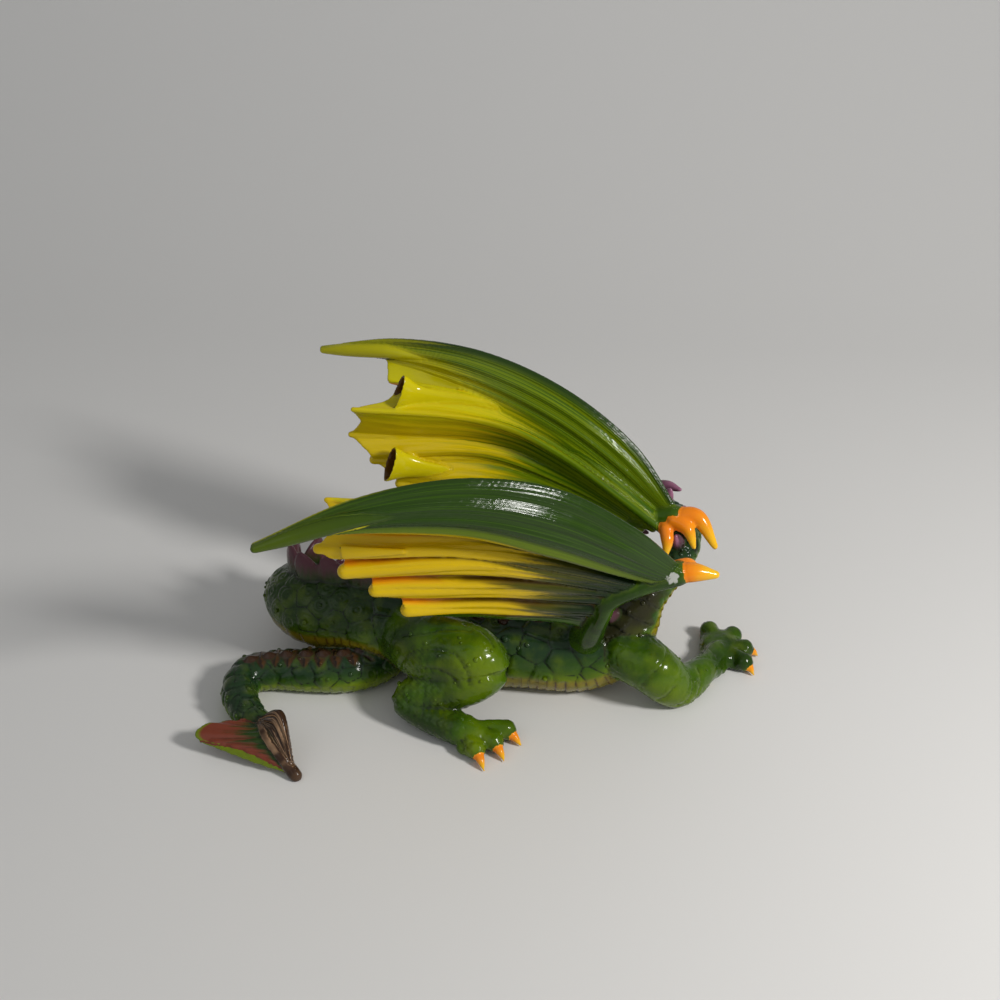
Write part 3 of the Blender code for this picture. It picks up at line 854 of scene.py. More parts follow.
def scale_spacing():
    """How far apart scale centres stand at each point of the skin."""
    shares = [0.0, 0.12, 0.19, 0.42, 0.46, 0.58, 0.75, 1.0]
    sizes = [NECK_SCALE, NECK_SCALE, TORSO_SCALE, TORSO_SCALE, RUMP_SCALE, RUMP_SCALE, TAIL_SCALE, 0.0065]
    size = np.interp(run, shares, sizes) * (1 - limb) + LIMB_SCALE * limb
    return np.where(mark["head"] > 0.5, HEAD_SCALE, size)


def scatter(spacing, candidates):
    """Indices of points that stand no closer to each other than the spacing at each."""
    order = np.random.default_rng(SEED).permutation(len(places))[:candidates]
    cell = spacing.max()
    near = {}
    kept = []
    for i in order:
        key = tuple((places[i] // cell).astype(int))
        around = [
            j
            for dx in (-1, 0, 1)
            for dy in (-1, 0, 1)
            for dz in (-1, 0, 1)
            for j in near.get((key[0] + dx, key[1] + dy, key[2] + dz), ())
        ]
        if not around or np.min(np.linalg.norm(places[around] - places[i], axis=1)) > spacing[i]:
            near.setdefault(key, []).append(i)
            kept.append(i)
    return np.array(kept)


CANDIDATES = 16000  # points that are tried as scale centres
spacing = scale_spacing()
centres = scatter(spacing, CANDIDATES)
print(len(centres), "scales on the body")


# %% Measure each point's place in its scale
def search_tree(targets):
    """A tree that finds the nearest of the targets."""
    tree = KDTree(len(targets))
    for i, target in enumerate(targets):
        tree.insert(target, i)
    tree.balance()
    return tree


def nearest_two(points, targets):
    """For each point, the nearest target and the distances to the nearest two."""
    tree = search_tree(targets)
    found = [tree.find_n(point, 2) for point in points]
    index = np.array([pair[0][1] for pair in found])
    first = np.array([pair[0][2] for pair in found])
    second = np.array([pair[1][2] for pair in found])
    return index, first, second


owner, first, second = nearest_two(places, places[centres])
size = spacing[centres][owner]
edge = (second - first) / size
groove = 1 - smoothstep(0.01, 0.13, edge)
dome = np.sqrt(np.clip(1 - (first / (0.80 * size)) ** 2, 0, 1))
lot = np.random.default_rng(SEED + 1).random(len(centres))
print("grooves cover", round(float((groove > 0.5).mean() * 100)), "% of the skin")

# %% [markdown]
# The belly is covered by broad plates that lie across it like slats, each with a raised rear edge.
# A saw-tooth along the body's length makes them. Where belly, limbs, spines, claws and face begin,
# the scales fade out.

# %% Carve the body
SCALE_RISE, GROOVE_DEPTH, SHINGLE_RISE, RING_RISE = 0.00060, 0.00060, 0.00075, 0.00034
SCUTE_PITCH, SCUTE_RISE = 0.0052, 0.00075
PLATE_PITCH, PLATE_RISE = 0.0088, 0.00110
LENGTH = float(np.linalg.norm(np.diff(smooth_path(BODY, 400)[:, :3], axis=0), axis=1).sum())
LEG_CREASES = [
    [
        (-0.039, 0.036, 0.032),
        (-0.031, 0.042, 0.047),
        (-0.018, 0.045, 0.052),
        (-0.006, 0.048, 0.051),
        (0.000, 0.052, 0.045),
        (0.002, 0.054, 0.036),
    ],
    [(-0.036, 0.030, 0.048), (-0.026, 0.036, 0.055), (-0.012, 0.036, 0.061), (0.000, 0.036, 0.059)],
    [(-0.002, 0.030, 0.060), (0.008, 0.034, 0.058), (0.014, 0.041, 0.052)],
    [(-0.030, 0.046, 0.036), (-0.022, 0.050, 0.042), (-0.010, 0.052, 0.041), (-0.004, 0.056, 0.034)],
    [(0.096, 0.038, 0.020), (0.099, 0.036, 0.028), (0.106, 0.031, 0.034), (0.110, 0.020, 0.036)],
    [(0.106, 0.038, 0.010), (0.111, 0.037, 0.015), (0.115, 0.031, 0.022)],
    [(0.128, 0.026, 0.006), (0.132, 0.019, 0.013), (0.130, 0.010, 0.018)],
    [(0.120, 0.032, 0.006), (0.126, 0.027, 0.013), (0.125, 0.018, 0.021)],
]
CREASE_WIDTH, CREASE_DEPTH, WRINKLE_RISE = 0.0013, 0.0009, 0.00024
CREASE_SAMPLES = 70
WRINKLE_WAVES, WRINKLE_BENDS = np.array([1900.0, 900.0, 700.0]), np.array([300.0, 700.0, 900.0])
RINGS_IN_A_SCALE, SLAT_GROOVE, SLAT_GROOVE_WIDTH = 3.2, 0.96, 0.06
LEFT_LOBE_RIDGES, RIGHT_LOBE_RIDGES, LOBE_RISE = 11, 3.5, 0.00038

bare = np.clip(mark["spine"] + mark["claw"] + mark["spade"] + mark["eye"], 0, 1)
trunk = (1 - smoothstep(0.15, 0.6, limb)) * (1 - bare) * (1 - mark["head"])
belly = smoothstep(-0.04, -0.26, up) * trunk
plate = np.mod(run * LENGTH / PLATE_PITCH, 1.0)
scallop = 0.16 * np.cos(plate * 2 * math.pi)
on_tail = smoothstep(0.775, 0.79, run) * smoothstep(0.915, 0.90, run)
on_shoulder = smoothstep(0.10, 0.12, run) * smoothstep(0.19, 0.17, run)
dorsal = smoothstep(0.80, 0.92, up + scallop * 0.7) * on_tail * trunk
dorsal += smoothstep(0.05, 0.20, up + scallop) * on_shoulder * trunk
scaly = (1 - belly) * (1 - dorsal) * (1 - bare) * (1 - 0.60 * limb) * (1 - 0.4 * mark["head"])
slat = np.mod(run * LENGTH / SCUTE_PITCH + 0.35 * mark["across"], 1.0)


def pressed(lines, width):
    """1 on lines pressed into the skin, on both sides of the body, and 0 away from them."""
    surface = search_tree(places)
    samples = [
        surface.find((x, side * y, z))[0]
        for line in lines
        for side in (-1, 1)
        for x, y, z in smooth_path(line, CREASE_SAMPLES)
    ]
    _, near, _ = nearest_two(places, np.array(samples))
    return np.exp(-((near / width) ** 2))


crease = pressed(LEG_CREASES, CREASE_WIDTH)
shingle = (run - run[centres][owner]) * LENGTH / size
ringed = (lot[owner] < 0.35) | ((run > 0.44) & (run < 0.60))
rings = np.cos(first / size * 2 * math.pi * RINGS_IN_A_SCALE) * smoothstep(0.62, 0.40, first / size) * ringed
worn = 0.35 + 0.65 * smoothstep(0.1, 0.7, lot[owner])
height = scaly * (SCALE_RISE * dome - GROOVE_DEPTH * groove * worn + RING_RISE * rings)
height += scaly * (1 - limb) * SHINGLE_RISE * np.clip(shingle, -0.6, 0.6) * (1 - groove)
slat_groove = np.exp(-(((slat - SLAT_GROOVE) / SLAT_GROOVE_WIDTH) ** 2))
height += belly * SCUTE_RISE * (slat - 0.5 - 1.2 * slat_groove)
height += dorsal * PLATE_RISE * (plate - 0.4)
height -= limb * CREASE_DEPTH * crease
wrinkles = np.sin(places @ WRINKLE_WAVES + 2.5 * np.sin(places @ WRINKLE_BENDS))
height += limb * (1 - bare) * WRINKLE_RISE * wrinkles * smoothstep(0.3, 0.8, lot[owner])
to_right = -mark["across"]
left_lobe = np.cos(run * 2 * math.pi * LEFT_LOBE_RIDGES) * smoothstep(0.10, 0.02, to_right)
right_lobe = np.cos(tip * 2 * math.pi * RIGHT_LOBE_RIDGES) * smoothstep(0.02, 0.10, to_right)
height += mark["spade"] * (1 - mark["keel"]) * LOBE_RISE * (left_lobe + right_lobe)
move_points(skin, places + normals * height[:, None])


# %% Find the recesses
def recesses(mesh, rounds, depth):
    """Near 1 where the skin lies deeper than its surroundings, which is where shade is painted."""
    points = read(mesh, "co", 3)
    around = np.stack([softened(mesh, column, rounds) for column in points.T], axis=1)
    return np.clip(((around - points) * read(mesh, "normal", 3)).sum(axis=1) / depth, 0, 1)


PAINTED_HIGHLIGHTS = [  # x, distance out, z, radius: painted highlights in lime on knees, elbows and feet
    (0.008, 0.050, 0.046, 0.020),
    (0.114, 0.028, 0.008, 0.018),
    (0.126, 0.014, 0.008, 0.012),
    (0.006, 0.074, 0.008, 0.007),
]
# painted highlight: lime where light falls on knees, elbows and feet
glow = np.zeros(len(places))
for x, out, z, radius in PAINTED_HIGHLIGHTS:
    for side in (-1, 1):
        away = np.linalg.norm(places - np.array([x, side * out, z]), axis=1)
        glow = np.maximum(glow, np.exp(-((away / radius) ** 2)))
# painted shade: the recess mark darkens folds and creases, where shade falls
wash = np.maximum(recesses(skin, 50, 0.0012), recesses(skin, 8, 0.0003) * 0.6)
painted = dict(mark)
painted["groove"] = groove * worn * scaly
painted.update(dome=dome, belly=belly, slat=slat, dorsal=dorsal, wash=wash, glow=glow, plate=plate)
for name, values in painted.items():
    write_mark(skin, name, values)
print("carved the body by", (height * 1000).min().round(2), "to", (height * 1000).max().round(2), "mm")


# %% [markdown]
# Round knobs stand on many scales, alone or in pairs. They are far finer than the skin's own mesh, so
# they are planted on it as small beads. Each takes the marks of the place that it stands on, and so
# it gets the colour of the skin around it.

# %% Plant the knobs
BEAD_SHARE, LEG_BEAD_SHARE = 0.42, 0.30  # how many scales carry a knob, on the trunk and on a leg
TWIN_DISTANCE, TWIN_SHARE = 0.0034, 0.8
KNOBS = [  # x, y, z, radius of knobs that are easily seen on the right side
    (0.0171, -0.0057, 0.0436, 0.0030),
    (0.0318, -0.0190, 0.0368, 0.0016),
    (0.0273, -0.0204, 0.0347, 0.0015),
    (-0.0331, -0.0335, 0.0522, 0.0014),
    (-0.0232, -0.0413, 0.0534, 0.0012),
    (0.0190, -0.0180, 0.0400, 0.0022),
    (0.0048, -0.0507, 0.0506, 0.0016),
    (0.0015, -0.0525, 0.0480, 0.0012),
    (0.0131, -0.0442, 0.0521, 0.0012),
]


def bead_form():
    """A low round bead of radius one."""
    places, faces, _ = ball((0, 0, 0), (1.0, 1.0, 0.75), sides=14)
    mesh = bpy.data.meshes.new("bead_form")
    mesh.from_pydata(places.tolist(), [], faces)
    mesh.shade_smooth()
    return add_piece("bead_form", mesh)


def knobs():
    """Places, directions, radii and marks of all the knobs."""
    luck = np.random.default_rng(SEED + 2)
    now, out = read(skin, "co", 3), read(skin, "normal", 3)
    open_skin = (bare[centres] < 0.2) & (belly[centres] < 0.3) & (mark["head"][centres] < 0.4)
    share = np.where(limb[centres] > 0.5, LEG_BEAD_SHARE, BEAD_SHARE)
    chosen = centres[open_skin & (luck.random(len(centres)) < share)]
    radius = luck.uniform(0.0009, 0.0016, len(chosen)) * np.where(limb[chosen] > 0.5, 0.85, 1.0)
    surface = search_tree(now)
    own = [surface.find(knob[:3])[1] for knob in KNOBS]
    twins = [surface.find(now[i] + luck.normal(size=3) * TWIN_DISTANCE)[1] for i in chosen[::3]]
    index = np.concatenate([chosen, own, twins])
    radius = np.concatenate([radius, [knob[3] for knob in KNOBS], radius[::3] * TWIN_SHARE])
    clear = now[index, 2] > radius * 1.5
    index, radius = index[clear], radius[clear]
    return index, now[index], out[index], radius


# %% [markdown]
# The two finishing steps are the same for every carved piece: points under the ground come up to it,
# and a mesh with too many triangles is thinned.

# %% Set the body on the ground and thin its mesh
MOST_TRIANGLES = 190000


def stand_on_ground(mesh):
    """Points under the ground are brought up to it, which leaves the casting's flat underside."""
    points = read(mesh, "co", 3)
    points[:, 2] = np.maximum(points[:, 2], CAD_LOW[2])
    move_points(mesh, points)


def thin(piece):
    """Keeps a piece under the number of triangles that its file may hold."""
    triangles = sum(len(face.vertices) - 2 for face in piece.data.polygons)
    if triangles > MOST_TRIANGLES:
        modifier = piece.modifiers.new("Thin", "DECIMATE")
        modifier.ratio = MOST_TRIANGLES / triangles
        settle(piece)
    piece.data.shade_smooth()
    print(piece.name, "had", triangles, "triangles and keeps", len(piece.data.polygons), "faces")


knob_at, knob_places, knob_out, knob_radius = knobs()
stand_on_ground(skin)
thin(body)
print(len(knob_at), "knobs to plant")

# %% [markdown]
# ## Wings
#
# Each wing has a broad leading band and under it a membrane that is pleated between thin fingers.
# The lines are those of the solid model: crest, band edge, six fingers and the hem. Only the left
# wing's band edge stands nearer the camera here. Between two fingers the sheet is pushed in to a
# valley, which is shallower than in the solid. The right wing shows its outer face, with rounded
# lobes that part at the hem. The left one shows its inner face, an even sheet with shallow folds,
# and two pleats on it are rolled to open horns.

# %% Wing lines
WING_SHEET = 0.0028
BAND_BULGE = {-1: 0.0050, 1: -0.0025}  # -1 is the right wing and 1 the left
BULGE_ARC = (0.4, 2.8)  # the bulge follows a sine between these angles, in radians
BAND_JOIN = 0.83  # share of the band's length along which the membrane is joined to it
WING_STATIONS = 90
CREST = [
    (0.114, 0.027, 0.101),
    (0.088, 0.041, 0.135),
    (0.048, 0.051, 0.164),
    (0.000, 0.066, 0.178),
    (-0.050, 0.083, 0.175),
    (-0.098, 0.101, 0.159),
]
BAND_EDGE = [
    (0.112, 0.029, 0.092),
    (0.090, 0.038, 0.101),
    (0.045, 0.058, 0.129),
    (0.000, 0.071, 0.149),
    (-0.057, 0.089, 0.160),
    (-0.097, 0.101, 0.157),
]
LEFT_BAND_EDGE = [
    (0.112, 0.028, 0.094),
    (0.090, 0.035, 0.110),
    (0.045, 0.045, 0.141),
    (0.000, 0.058, 0.158),
    (-0.057, 0.085, 0.162),
    (-0.097, 0.101, 0.157),
]
PLEATS = [
    [(0.109, 0.024, 0.093), (0.045, 0.046, 0.136), (0.000, 0.056, 0.153), (-0.042, 0.060, 0.160)],
    [(0.106, 0.022, 0.092), (0.045, 0.039, 0.130), (0.000, 0.044, 0.147), (-0.072, 0.046, 0.150)],
    [(0.101, 0.026, 0.090), (0.045, 0.045, 0.116), (0.000, 0.054, 0.127), (-0.076, 0.057, 0.1265)],
    [(0.094, 0.028, 0.088), (0.045, 0.044, 0.107), (0.000, 0.052, 0.117), (-0.063, 0.055, 0.111)],
    [(0.084, 0.029, 0.084), (0.045, 0.040, 0.093), (0.000, 0.046, 0.096), (-0.048, 0.052, 0.097)],
    [(0.072, 0.028, 0.070), (0.045, 0.034, 0.074), (0.000, 0.039, 0.078), (-0.032, 0.046, 0.080)],
]
HEM = [(0.068, 0.022, 0.054), (0.040, 0.028, 0.063), (-0.028, 0.038, 0.071)]
VALLEY_PUSH = [  # how far out and up each valley goes
    (-0.004, -0.016),
    (0.002, -0.008),
    (-0.002, 0.000),
    (-0.013, -0.001),
    (-0.011, 0.000),
    (-0.010, 0.000),
    (0.000, 0.000),
]
VALLEY_OPENING = 1.6  # how fast a valley opens behind the wrist
CUT_STEEPNESS = 6  # a high power keeps the cut close to the trailing edge
RIPPLE, RIPPLES = 0.0012, 11  # how far a valley wanders up and down, and how fast
VALLEY_CUT = [-0.016, 0.006, 0.014, 0.012, 0.010, 0.008, 0.000]
FINGER_ROOT, CREST_ROOT = 0.0026, 0.0018
FINGER_TIPS = {
    -1: [0.0016, 0.0022, 0.0016, 0.0030, 0.0044, 0.0040, 0.0042],
    1: [0.0016, 0.0022, 0.0016, 0.0020, 0.0030, 0.0030, 0.0030],
}
ARM = [
    (0.064, 0.010, 0.034, 0.0115),
    (0.068, 0.022, 0.050, 0.0075),
    (0.073, 0.031, 0.070, 0.0056),
    (0.078, 0.033, 0.083, 0.0056),
    (0.095, 0.031, 0.092, 0.0055),
    (0.113, 0.027, 0.098, 0.0072),
]
WING_CLAWS = {
    -1: [
        [(0.111, 0.0275, 0.0985, 0.0056), (0.122, 0.0275, 0.0995, 0.0054), (0.1335, 0.0275, 0.0985, 0.0024)],
        [(0.112, 0.023, 0.098, 0.0048), (0.120, 0.018, 0.097, 0.0040), (0.125, 0.012, 0.087, 0.0013)],
        [(0.106, 0.020, 0.093, 0.0038), (0.110, 0.014, 0.090, 0.0030), (0.112, 0.010, 0.084, 0.0012)],
    ],
    1: [
        [(0.113, 0.026, 0.099, 0.0054), (0.126, 0.024, 0.0995, 0.0050), (0.1360, 0.015, 0.0870, 0.0020)],
        [(0.112, 0.023, 0.098, 0.0046), (0.120, 0.018, 0.096, 0.0040), (0.1240, 0.012, 0.0880, 0.0015)],
        [(0.108, 0.021, 0.094, 0.0042), (0.109, 0.015, 0.089, 0.0036), (0.1085, 0.010, 0.0825, 0.0013)],
    ],
}
# The flanks of a pleat are rounded out by a share of its depth: out on the right wing, in on the left
FLANK_BULGE = {-1: 0.80, 1: -0.10}
VALLEY_DEPTH = {-1: 0.45, 1: 0.35}  # the share of the solid's depth that a valley keeps
HORN_SHARES, HORN_RADII = (0.70, 0.82, 0.93, 1.0), (0.0010, 0.0044, 0.0042, 0.0022)
ROLLED_PLEATS = {
    -1: [
        [
            (-0.030, 0.0600, 0.1290, 0.0018),
            (-0.050, 0.0605, 0.1280, 0.0034),
            (-0.0635, 0.0600, 0.1270, 0.0046),
        ],
    ],
    1: [
        [
            (0.020, 0.0520, 0.1475, 0.0016),
            (-0.004, 0.0545, 0.1520, 0.0040),
            (-0.022, 0.0550, 0.1530, 0.0056),
            (-0.037, 0.0540, 0.1550, 0.0082),
            (-0.047, 0.0510, 0.1590, 0.0122),
        ],
        [
            (0.008, 0.0490, 0.1060, 0.0014),
            (-0.012, 0.0490, 0.1075, 0.0030),
            (-0.030, 0.0480, 0.1100, 0.0050),
            (-0.043, 0.0460, 0.1130, 0.0080),
            (-0.052, 0.0420, 0.1165, 0.0118),
        ],
    ],
}
ROLL_WALL, ROLL_BOTTOM, ROLL_FLAT = 0.0020, 0.66, 0.50
LAST_LINE = 2 * (len(PLEATS) + 1)


def mirrored(points, side):
    """Wing points turned into places: side is -1 for the right wing and 1 for the left."""
    return [(p[0], side * p[1], *p[2:]) for p in points]


def membrane_marks(number, share):
    return {"down": number / LAST_LINE, "ridge": np.cos(math.pi * number)}


def band_marks(number, share):
    return {"down": number / 2 - 1, "ridge": np.ones_like(number)}


def facing_out(member, side, lift, sharpness):
    """Marks the half of a round member that lies on the wing's outer face. Lift tilts the halves."""
    marks = member[2]
    marks["outer"] = np.clip(-sharpness * side * (marks["across"] + lift * marks["up"]), -1, 1)
    return member


def wing_shells(side):
    """Band, membrane, fingers, rolled pleats, arm and claws of one wing."""
    crest = smooth_path(CREST, WING_STATIONS)
    edge = smooth_path(BAND_EDGE if side < 0 else LEFT_BAND_EDGE, WING_STATIONS)
    bulge = np.array([0, BAND_BULGE[side], 0]) * np.sin(np.linspace(*BULGE_ARC, WING_STATIONS))[:, None]
    middle = (crest + edge) / 2 + bulge
    joined = smooth_path(edge[: int(BAND_JOIN * WING_STATIONS)], WING_STATIONS)
    ridges = [joined] + [smooth_path(points, WING_STATIONS) for points in PLEATS + [HEM]]
    along = np.linspace(0, 1, WING_STATIONS)[:, None]
    lines, numbers = [ridges[0]], [0.0]
    for before, after, (out, rise), cut in zip(ridges, ridges[1:], VALLEY_PUSH, VALLEY_CUT):
        out, rise, cut = (value * VALLEY_DEPTH[side] for value in (out, rise, cut))
        opened = np.minimum(1, along * VALLEY_OPENING)
        valley = (before + after) / 2 + np.array([0, out, rise]) * opened
        valley[:, 0] += cut * along[:, 0] ** CUT_STEEPNESS
        valley[:, 2] += RIPPLE * np.sin(along[:, 0] * RIPPLES + len(lines)) * along[:, 0]
        flank = np.array([0, -out * FLANK_BULGE[side], 0])
        lines += [(before + valley) / 2 + flank, valley, (valley + after) / 2 + flank, after]
        numbers += [numbers[-1] + step for step in (0.5, 1.0, 1.5, 2.0)]

    def placed(points):
        return np.array(mirrored(points, side))

    made = [
        sheet([placed(line) for line in (crest, middle, edge)], (0, 1, 2), WING_SHEET, side, band_marks),
        sheet([placed(line) for line in lines], numbers, WING_SHEET, side, membrane_marks),
    ]
    for k, (points, end) in enumerate(zip([CREST] + PLEATS, FINGER_TIPS[side])):
        radius = np.linspace(FINGER_ROOT if k else CREST_ROOT, end, len(points))
        finger = [(*point, r) for point, r in zip(mirrored(points, side), radius)]
        down = 2 * k / LAST_LINE if k else -1.0
        member = tube(finger, sides=14, down=down, ridge=1.0, tip=0.0)
        made.append(facing_out(member, side, lift=0.0, sharpness=1))
    horn = [(*middle[int(share * (WING_STATIONS - 1))], r) for share, r in zip(HORN_SHARES, HORN_RADII)]
    member = tube(mirrored(horn, side), sides=16, down=-0.5, tip=0.0, run=(0.8, 1.0))
    made.append(facing_out(member, side, lift=0.5, sharpness=4))
    for roll in ROLLED_PLEATS[side]:
        marks = {"run": 0.85, "down": 0.3, "outer": side * -1.0}
        made.append(cup(mirrored(roll, side), ROLL_WALL, ROLL_BOTTOM, ROLL_FLAT, **marks))
    made.append(tube(mirrored(ARM, side), sides=24, limb=1.0, run=(0.0, 0.0), down=0.3))
    for claw_line in WING_CLAWS[side]:
        made.append(tube(mirrored(claw_line, side), step=0.001, claw=1.0, run=(0.0, 0.0), down=0.0))
    return made


WING_VOXEL = 0.00088
SIDES = {"right_wing": -1, "left_wing": 1}
wings = [fuse(name, wing_shells(side), WING_VOXEL, rounds=4) for name, side in SIDES.items()]


# %% [markdown]
# The wing's carving follows its marks: long flutes on the band that fan out from the wrist, and fine
# creases along each pleat. They are waves across the wing, so the mark that counts from crest to hem
# is the one that the sine takes.

# %% Carve the wings
FLUTE_RISE, FLUTES, FLUTE_BEND = 0.00050, 3.4, 1.2
CREASE_RISE, CREASES, CREASE_GROUPS = 0.00026, 21, 37
WING_SOFTENING = {"down": 5, "run": 3, "limb": 10, "claw": 1, "ridge": 3, "outer": 1, "hollow": 1, "tip": 1}


def carve_wing(piece):
    mesh = piece.data
    points, outward = read(mesh, "co", 3), read(mesh, "normal", 3)
    value = {name: softened(mesh, read(mesh, name), rounds) for name, rounds in WING_SOFTENING.items()}
    down, share = value["down"], value["run"]
    value["band"] = smoothstep(0.02, -0.06, down)
    fade = smoothstep(0.03, 0.22, share) * smoothstep(1.0, 0.80, share)
    fade = fade * (1 - value["limb"]) * (1 - value["claw"]) * (1 - value["hollow"])
    flutes = np.cos(down * 2 * math.pi * FLUTES + FLUTE_BEND * share) * value["band"]
    groups = np.sin(down * CREASE_GROUPS + 4 * share)
    creases = np.sin(down * 2 * math.pi * CREASES + 3.0 * np.sin(share * 5)) * groups
    strength = np.where(value["band"] > 0.5, 0.6, 1.0)
    height = fade * (FLUTE_RISE * flutes + CREASE_RISE * creases * strength)
    move_points(mesh, points + outward * height[:, None])
    # the recess mark, for painted shade in the wing's folds
    value["wash"] = np.maximum(recesses(mesh, 40, 0.0014), recesses(mesh, 6, 0.0003) * 0.4)
    for name, numbers in value.items():
        write_mark(mesh, name, numbers)
    stand_on_ground(mesh)
    thin(piece)


for piece in wings:
    carve_wing(piece)

# %% [markdown]
# ## Paint
#
# The figure is painted with green, yellow, orange and purple acrylics, washed with a dark glaze that
# stays in the grooves, and varnished; painted shade darkens its folds and recesses. One helper makes
# the shared part: a Principled shader with a glossy skin whose roughness and small bumps vary.
# Each paint scheme then only decides the colour.

# %% Paint helpers
def mark_value(net, name):
    return net.node("ShaderNodeAttribute", {"attribute_name": name}, {}, "Fac")


def blend(net, factor, first_colour, second_colour):
    """Goes from the first colour to the second as the factor goes from 0 to 1."""
    inputs = {0: factor, 6: first_colour, 7: second_colour}
    return net.node("ShaderNodeMix", {"data_type": "RGBA"}, inputs, 2)


def ease(net, value, low, high):
    """0 below low, 1 above high, and a smooth slope between. Low may be the larger one."""
    settings = {"interpolation_type": "SMOOTHSTEP"}
    if low > high:
        return 1.0 - ease(net, value, high, low)
    return net.node("ShaderNodeMapRange", settings, {0: value, 1: low, 2: high, 3: 0.0, 4: 1.0})


def eased(net, name, low, high):
    return ease(net, mark_value(net, name), low, high)


def object_place(net):
    return net.node("ShaderNodeTexCoord", {}, {}, "Object")


def noise(net, scale, detail=3.0, place=None):
    place = place or object_place(net)
    return net.node("ShaderNodeTexNoise", {}, {"Vector": place, "Scale": scale, "Detail": detail}, 0)


def colour(red, green, blue):
    return (red, green, blue, 1.0)


# Greens
LEAF, DEEP, TEAL = colour(0.038, 0.092, 0.002), colour(0.016, 0.040, 0.003), colour(0.012, 0.033, 0.011)
LIME, OLIVE = colour(0.150, 0.210, 0.003), colour(0.062, 0.064, 0.003)
# Yellows and browns
YELLOW, LEMON, ORANGE = colour(0.660, 0.450, 0.004), colour(0.540, 0.490, 0.004), colour(0.800, 0.215, 0.008)
AMBER, OCHRE, BROWN = colour(0.800, 0.440, 0.015), colour(0.240, 0.160, 0.012), colour(0.100, 0.042, 0.004)
MAROON, BRICK, TAN = colour(0.036, 0.017, 0.009), colour(0.170, 0.036, 0.018), colour(0.330, 0.200, 0.110)
# Purples, a painted-shade and a painted-light copy of the spines' purple; the dark glaze, which also paints
# shade; bare resin
SHADED_PURPLE, LIT_PURPLE = colour(0.080, 0.026, 0.036), colour(0.300, 0.120, 0.200)
GLAZE_AND_SHADE, RESIN = colour(0.004, 0.007, 0.004), colour(0.420, 0.430, 0.390)
NIGHT = colour(0.006, 0.017, 0.003)  # the near-black green at a wing's wrist
SMOOTHEST, ROUGHER = 0.08, 0.13  # roughness of the varnish at its smoothest, and what is added at most


def varnished(title, paint, relief):
    """A material with the colour paint(net) and the bumps relief(net), under a glossy varnish."""
    material = bpy.data.materials.new(title)
    material.use_nodes = True
    net = Net(material.node_tree)
    shader = material.node_tree.nodes["Principled BSDF"]
    shader.inputs["IOR"].default_value = 1.5
    shader.inputs["Coat Roughness"].default_value = 0.12
    shader.inputs["Coat Weight"].default_value = 0.08
    shader.inputs["Specular IOR Level"].default_value = 0.22
    net.tree.links.new(paint(net).socket, shader.inputs["Base Color"])
    gloss = ease(net, noise(net, 70.0), 0.30, 0.70) * ROUGHER + SMOOTHEST
    net.tree.links.new(gloss.socket, shader.inputs["Roughness"])
    inputs = {"Height": relief(net), "Strength": 0.5, "Distance": 0.0008}
    bump = net.node("ShaderNodeBump", {}, inputs)
    net.tree.links.new(bump.socket, shader.inputs["Normal"])
    return material


# %% [markdown]
# The body is dark teal on the back, leaf green on the flanks and lime towards the belly, which is
# ochre with brown gaps. The raised tail base is darker green with a brown belly, as painted shade.
# Knees, elbows, feet and scale domes carry painted highlights in lime. Spines go from teal at the foot
# to purple at the tip on the tail base and neck; the neck's purple is lighter, a painted lit copy of
# the tail base's, which is painted shade. The plates along the tail and on the shoulders are maroon.
# At the end a dark glaze settles in the grooves, and painted shade in the folds and recesses.

# %% Paint of the body
def claw_colour(net):
    share = mark_value(net, "tip") + (noise(net, 180.0) - 0.5) * 0.3
    return blend(net, ease(net, share, 0.30, 0.95), ORANGE, AMBER)


def trunk_colour(net, mottle):
    """Green from teal above to lime below, with painted shade on the raised tail base and a belly of slats.
    """
    up_mark, run_mark = mark_value(net, "up") + mottle * 0.9, mark_value(net, "run")
    shade = blend(net, ease(net, up_mark, -0.15, 0.65), LEAF, TEAL)
    shade = blend(net, ease(net, up_mark, 0.20, -0.35), shade, LIME)
    # painted shade: the raised tail base is darker green, and its belly brown
    rump_shade = ease(net, run_mark, 0.42, 0.48) * ease(net, run_mark, 0.72, 0.62)
    shade = blend(net, rump_shade * 0.80, shade, DEEP)
    gaps = eased(net, "slat", 0.70, 0.97)
    tail = ease(net, run_mark, 0.66, 0.74)
    scutes = blend(net, tail, blend(net, rump_shade * 0.65, OCHRE, BROWN), LIME)
    scutes = blend(net, gaps * (1.0 - tail), blend(net, noise(net, 90.0) * 0.5, scutes, LIME), BROWN)
    return blend(net, mark_value(net, "belly"), shade, scutes)


def spine_colour(net):
    run_mark, tips = mark_value(net, "run"), mark_value(net, "tip")
    fibres = net.node("ShaderNodeMapping", {}, {"Vector": object_place(net), "Scale": (1.0, 1.0, 0.12)})
    streaks = noise(net, 420.0, 2.0, fibres)
    # the tips' purple is the shaded copy of the spines' purple, painted shade
    thorn = blend(net, ease(net, tips + (streaks - 0.5) * 0.4, 0.15, 0.75), DEEP, SHADED_PURPLE)
    neck = ease(net, run_mark, 0.16, 0.12)
    # painted light: the neck's spines take a lit copy of the same purple
    thorn = blend(net, neck * ease(net, tips, 0.2, 0.8) * 0.9, thorn, LIT_PURPLE)
    torso = ease(net, run_mark, 0.14, 0.18) * ease(net, run_mark, 0.44, 0.40)
    return blend(net, (ease(net, run_mark, 0.62, 0.70) + torso).clamped(), thorn, MAROON)


